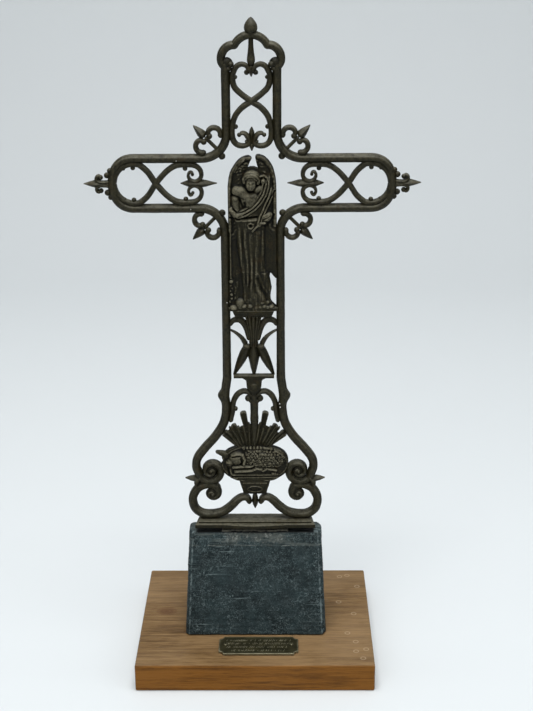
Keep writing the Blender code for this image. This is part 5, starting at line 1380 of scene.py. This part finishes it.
hem = edge_at([283, 286, 287.4, 289, 291, 295, 301, 306, 310, 312.6, 313.4],
              [18.2, 18.2, 16.2, 14.6, 13.2, 12.9, 13.9, 13.0, 12.4, 13.0, 18.2])
full_left = edge_at([283, 345, 378, 384, 388, 391.4], [-18.4, -17.9, -17.9, -17.2, -16.2, -14.4])
full_right = edge_at([313.4, 345, 378, 384, 388, 391.4], [18.2, 17.9, 17.7, 17.2, 16.3, 15.4])
figure_parts = [
    carved_part(283, 391.2, full_left, lambda z: np.where(z < 313.4, hem(z), full_right(z)),
                figure, FIGURE_BACK),
    carved_part(308.6, 313.6, edge_at([308.6, 313.6], [16.6, 12.4]), edge_at([308.6, 313.6], [18.2, 18.2]),
                figure, WING_BACK),
    carved_part(390.8, 392.3, edge_at([390.8, 391.5, 392.3], [-4.2, -3.2, -1.2]),
                edge_at([390.8, 391.5, 392.3], [5.0, 3.6, 1.4]), figure, WING_BACK),
    carved_part(389.6, 400.4, edge_at([389.6, 392, 394, 396, 397.5, 399, 400, 400.4],
                                      [-15.5, -14.0, -12.7, -11.2, -9.8, -7.6, -5.4, -3.8]),
                edge_at([389.6, 391.2, 392, 394, 396, 397.4, 398.6, 399.6, 400.4],
                        [-2.6, -3.2, -3.1, -2.3, -1.4, -0.7, -0.1, -0.7, -2.4]), figure, WING_BACK),
    carved_part(389.6, 401.2, edge_at([389.6, 390.6, 392, 394, 396, 397.5, 399, 400.2, 401.2],
                                      [4.0, 4.5, 4.1, 3.6, 3.1, 2.8, 2.4, 2.6, 3.8]),
                edge_at([389.6, 392, 394, 396, 397.5, 399, 400.2, 401.2],
                        [15.9, 15.1, 14.1, 12.8, 11.6, 10.0, 8.2, 5.4]), figure, WING_BACK),
]
casting("winged_figure", figure_parts, crease=70.0)


# LAMB MEDALLION
# An oval boss over the volutes: a woolly lamb lying on a closed book, its head to the left, under a row
# of beads. A tab sticks out at the left and a short pedestal with arched mouldings carries it.
LAMB_MIDDLE, LAMB_HALF, LAMB_RISE = 157.6, 26.3, 15.4
LAMB_BACK = BACK - LIFT / 2


def wool(x, z):
    """Curls: the rings of a jittered lattice of round tufts, each with a dimple in its middle."""
    cell = 2.5
    shift = 0.5 * (np.floor(z / cell) % 2)
    cx, cz = np.floor(x / cell + shift), np.floor(z / cell)
    jitter_x, jitter_z = lattice(cx + 0.0, cz + 0.0, 5) - 0.5, lattice(cx + 0.0, cz + 0.0, 6) - 0.5
    u = (x / cell + shift - cx - 0.5 - 0.3 * jitter_x) * cell
    v = (z / cell - cz - 0.5 - 0.3 * jitter_z) * cell
    away = np.hypot(u, v)
    return np.exp(-((away - 0.72) / 0.42) ** 2) + 0.35 * np.exp(-(away / 0.3) ** 2)


LAMB_FORMS = [
    ("boss", (-13.6, 162.4), (7.2, 6.2, 14), 5.4), ("boss", (-19.0, 159.2), (4.2, 3.6, 30), 4.6),
    ("ridge", [(-17.6, 165.2), (-14.0, 166.6), (-10.8, 166.2)], 0.8, 1.3),
    ("groove", [(-17.4, 164.2), (-14.0, 164.8), (-11.8, 165.0)], 0.5, 1.5),
    ("dimple", (-15.4, 163.4), (0.9, 0.6), 0.7),
    ("ridge", [(-16.2, 163.3), (-14.8, 163.3)], 0.4, 0.6),
    ("groove", [(-21.6, 157.8), (-18.0, 157.4)], 0.35, 0.8),
    ("dimple", (-21.2, 160.4), (0.5, 0.5), 0.7),
    ("rib", [(-9.6, 165.6), (-7.6, 161.8), (-8.4, 158.0)], 1.6, 5.4),
    ("groove", [(-10.8, 163.0), (-10.0, 159.6), (-11.4, 157.4)], 0.6, 1.6),
    ("rib", [(-16.4, 155.2), (-9, 155.8), (-2.0, 155.8)], 1.7, 4.8),
    ("rib", [(-15.0, 151.6), (-9.6, 151.8), (-2.4, 152.4), (1.4, 154.2), (5.2, 153.6)], 1.5, 5.0),
    ("rib", [(6.4, 152.2), (9.6, 154.0), (16.6, 152.6)], 1.3, 4.8),
    ("rib", [(13.6, 149.8), (16.0, 149.8)], 0.9, 4.2),
    ("groove", [(-16.0, 153.5), (-6.0, 153.8), (0.6, 156.2), (8.0, 155.6), (17.0, 154.6)], 0.5, 1.5)]
BOOK_LINES = [
    ("ridge", [(-19.0, 152.6), (-18.4, 149.6), (-17.0, 148.2), (6.0, 148.2), (18.0, 148.6)], 0.6, 1.6),
    ("groove", [(-17.0, 147.0), (17.6, 147.4)], 0.5, 1.3),
    ("ridge", [(-17.6, 145.8), (17.6, 146.2)], 0.5, 0.8),
    ("ridge", [(-16.6, 143.8), (17.0, 144.0)], 0.5, 0.7),
    ("groove", [(-21.0, 154.0), (-20.0, 148.6), (-17.4, 146.6)], 0.7, 1.3)]


def lamb(x, z):
    """Heights over the medallion's back: a domed oval, fleece in curls, then the forms, book and beads."""
    rise = np.clip(np.abs(z - LAMB_MIDDLE) / LAMB_RISE, 0, 1)
    height = 3.7 + 1.5 * np.clip(1 - rise ** 3, 0, 1) * np.clip(1 - (np.abs(x) / LAMB_HALF) ** 5, 0, 1)
    fleece = swell(x, z, (6.6, 162.0), 18.4, 10.2)
    shift_x, shift_z = 1.6 * rough(x * 0.35, z * 0.35, 92, 2), 1.6 * rough(x * 0.35, z * 0.35, 93, 2)
    curls = 1.25 * wool(x + shift_x, z + shift_z) + 1.3 * rough(x * 0.42, z * 0.42, 94, 2)
    height = blend(height, FORM_FOOT + 4.4 * fleece + curls * np.clip(fleece * 2, 0, 1), 0.25)
    height = carve(x, z, height, LAMB_FORMS)
    book = (np.abs(x + 0.6) < 18.8) & (z < 149.6) & (z > 141)
    height = carve(x, z, np.where(book, np.maximum(height, 5.3), height), BOOK_LINES)
    rim = (z - LAMB_MIDDLE) / LAMB_RISE
    for cx in np.arange(-8.4, 15.0, 2.65):
        cz = LAMB_MIDDLE + LAMB_RISE * (1 - abs(cx / LAMB_HALF) ** 2.4) ** (1 / 2.6) - 1.7
        height = blend(height, FORM_FOOT + 4.2 * swell(x, z, (cx, cz), 1.3, 1.25), 0.12)
    height += 0.9 * np.clip(1 - np.abs(rim ** 2 + (x / LAMB_HALF) ** 2 - 0.93) / 0.07, 0, 1)
    return smoothed(height + 0.25 * rough(x * 1.1, z * 1.1, 95, 3))


def lamb_half(z):
    return LAMB_HALF * np.clip(1 - np.abs((z - LAMB_MIDDLE) / LAMB_RISE) ** 2.6, 0.02, 1) ** (1 / 2.4)


def lamb_left(z):
    """The left edge, nicked under the tab."""
    return -lamb_half(z) + 1.7 * np.exp(-((z - 159.4) / 1.7) ** 2)


def pedestal(x, z):
    """A plain block with an oval moulding and a ledge over it."""
    height = np.interp(z, [132, 136, 139], [3.6, 4.6, 5.4])
    oval = np.hypot(x / 5.6, (z - 136.2) / 2.6)
    height += 0.8 * np.exp(-((oval - 1.0) / 0.16) ** 2) + 0.6 * stroke(x, z,
                                                                       [(-9.0, 141.4), (9.0, 141.4)], 0.7)
    return height - 0.5 * np.exp(-((oval - 0.6) / 0.2) ** 2) + 0.25 * rough(x * 0.9, z * 0.9, 97, 2)


lamb_parts = [
    carved_part(LAMB_MIDDLE - LAMB_RISE * 0.995, LAMB_MIDDLE + LAMB_RISE * 0.995, lamb_left, lamb_half,
                lamb,
                LAMB_BACK),
    carved_part(131.6, 145.0, edge_at([131.6, 134.6, 143.0, 145.0], [-9.2, -9.6, -12.0, -12.6]),
                edge_at([131.6, 134.6, 143.0, 145.0], [9.2, 9.6, 12.0, 12.6]), pedestal, BACK - LIFT * 1.5),
    bar(through([(-20, 163.2), (-24.6, 165.4), (-28.4, 166.6), (-30.6, 166.8)]), [5.8, 5.6, 4.0, 2.2],
        [4.6, 4.2, 3.0],
        back=BACK - LIFT * 2, seed=51),
]
casting("lamb_medallion", lamb_parts, crease=70.0)


# PLAQUE
# A thin brass plate with scooped corners, its field darkened and its border bright. The inscription is
# not copied: four rows of short curved strokes that spell nothing stand in its place.
PLAQUE_LOW, PLAQUE_HIGH = (np.array(corner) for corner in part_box("plaque"))
PLAQUE_SCOOP = 3.6 * MM
SCOOP_POINTS = 14
PLAQUE_POINTS = 4 * SCOOP_POINTS
BRASS_FIELD = [(0.32, (0.040, 0.037, 0.017)), (0.7, (0.085, 0.076, 0.036))]
BRASS_BRIGHT = [(0.3, (0.42, 0.38, 0.24)), (0.7, (0.75, 0.70, 0.50))]
STROKE_ROWS = [(0.27, 0.80), (0.09, 0.86), (-0.11, 0.78), (-0.31, 0.66)]
STROKE_HEIGHT = 3.0 * MM


def scooped_outline(inset):
    """The plaque's outline moved inwards: straight sides, and a quarter circle taken out of each corner."""
    middle = (PLAQUE_LOW + PLAQUE_HIGH)[:2] / 2
    half = (PLAQUE_HIGH - PLAQUE_LOW)[:2] / 2
    points = []
    for k, (sx, sy) in enumerate(((1, 1), (-1, 1), (-1, -1), (1, -1))):
        start = math.asin(min(inset / (PLAQUE_SCOOP + inset), 1))
        angle = np.linspace(math.pi / 2 * k + 1.5 * math.pi - start, math.pi / 2 * k + math.pi + start,
                            SCOOP_POINTS)
        ring = PLAQUE_SCOOP + inset
        points.append(np.stack([middle[0] + sx * half[0] + ring * np.cos(angle),
                                middle[1] + sy * half[1] + ring * np.sin(angle)], 1))
    return np.vstack(points)


def plaque_skin():
    """Rings up the plate's side, over its eased arris, down into the field and in to the middle."""
    rows = [(0.2, 0.0), (0.0, 0.12), (0.0, 0.75), (0.12, 0.94), (0.3, 1.0), (1.0, 1.0), (1.25, 0.93)]
    height = PLAQUE_HIGH[2] - PLAQUE_LOW[2]
    middle = (PLAQUE_LOW + PLAQUE_HIGH)[:2] / 2
    rings = [np.column_stack([scooped_outline(inset * MM),
                              np.full(PLAQUE_POINTS, PLAQUE_LOW[2] + height * up)])
             for inset, up in rows]
    wear = [np.full(PLAQUE_POINTS, 0.4 if inset < 0.5 else 0.1) for inset, up in rows]
    for k in np.linspace(1, 0.02, 16)[1:]:
        flat = middle + (rings[len(rows) - 1][:, :2] - middle) * (1, k)
        rings.append(np.column_stack([flat, np.full(PLAQUE_POINTS, PLAQUE_LOW[2] + height * 0.93)]))
        wear.append(np.zeros(PLAQUE_POINTS))
    first = np.column_stack([middle + (rings[0][:, :2] - middle) * (1, 0.02), rings[0][:, 2]])
    return tube(np.array([first, *rings]), np.array([np.zeros(PLAQUE_POINTS), *wear]))


def writing_strokes():
    """Short raised bows and ticks in four rows, of uneven length and gaps, the same each run."""
    chance = np.random.default_rng(8)
    middle = (PLAQUE_LOW + PLAQUE_HIGH) / 2
    half = (PLAQUE_HIGH - PLAQUE_LOW) / 2
    skins = []
    for up, share in STROKE_ROWS:
        x = middle[0] - half[0] * share
        while x < middle[0] + half[0] * share:
            tall = STROKE_HEIGHT * chance.uniform(0.45, 1.0) * 0.6
            lean = chance.uniform(0.2, 0.5)
            bow = chance.uniform(-0.45, 0.45) * MM
            t = np.linspace(-1, 1, 7)
            line_x = x + tall * lean * t + bow * (1 - t * t)
            line_y = middle[1] + 2 * half[1] * up + tall * t
            thick = chance.uniform(0.12, 0.19) * MM * np.sqrt(np.clip(1.02 - t * t, 0.05, 1))
            around = np.linspace(0, 2 * math.pi, 6, endpoint=False)
            ring_x = line_x[:, None] + thick[:, None] * np.cos(around)
            ring_z = PLAQUE_HIGH[2] - 0.07 * MM + thick[:, None] * 0.6 * np.sin(around)
            ring = np.stack([ring_x, np.repeat(line_y[:, None], 6, 1), ring_z], -1)
            skins.append(tube(ring[::-1], np.full((7, 6), 1.0)))
            x += chance.choice([0.9, 1.15, 1.4, 2.8], p=[0.3, 0.3, 0.22, 0.18]) * MM
    return skins


def brass_material():
    """Dull olive brass: dark in the field, bright where rubbed on the border and the strokes."""
    brass = Paint("darkened_brass", roughness=0.42, metallic=0.85)
    cloud = brass.noise(160.0, 4.0, 0.6)
    metal = (brass.worn() * 0.8).over(cloud.ramp(*BRASS_FIELD), cloud.ramp(*BRASS_BRIGHT))
    scratch = brass.noise(1.0, 3.0, stretch=(300.0, 2600.0, 300.0))
    return brass.finish(scratch, 0.2, 0.0002, Base_Color=metal,
                        Roughness=cloud.ramp((0.3, 0.34), (0.7, 0.52)))


BRASS = brass_material()
piece("plaque_plate", [plaque_skin(), *writing_strokes()], BRASS, "plaque", crease=30.0)


# PINS
# Each end of the plaque has a small brass pin with a round head filed to five petals.


def pin_skin(node):
    """The pin turned about its own line: point, shank, then a head whose radius waves five times round."""
    low, high = (np.array(corner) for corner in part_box(node))
    middle, reach, head_height = (low + high) / 2, (high - low)[0] / 2, 0.8 * MM
    seat = high[2] - head_height
    profile = np.array([(low[2], 0.10), (low[2] + 1.2 * MM, 0.44), (seat, 0.46), (seat, 0.98),
                        (seat + head_height * 0.35, 1.0), (seat + head_height * 0.75, 0.78),
                        (seat + head_height * 0.8, 0.45), (seat + head_height, 0.25)])
    around = np.linspace(0, 2 * math.pi, 40, endpoint=False)
    petal = np.where(profile[:, :1] > seat, 1 - 0.13 * np.abs(np.sin(2.5 * around)), 1.0)
    r = profile[:, 1:] * reach * petal
    rings = np.stack([middle[0] + r * np.cos(around), middle[1] + r * np.sin(around),
                      np.repeat(profile[:, :1], 40, 1)], -1)
    return tube(rings, np.full(r.shape, 0.15))


for side in ("left", "right"):
    piece("pin_rosette_" + side, [pin_skin("plaque_pin_" + side)], BRASS,
          "plaque_pin_" + side, crease=50.0)
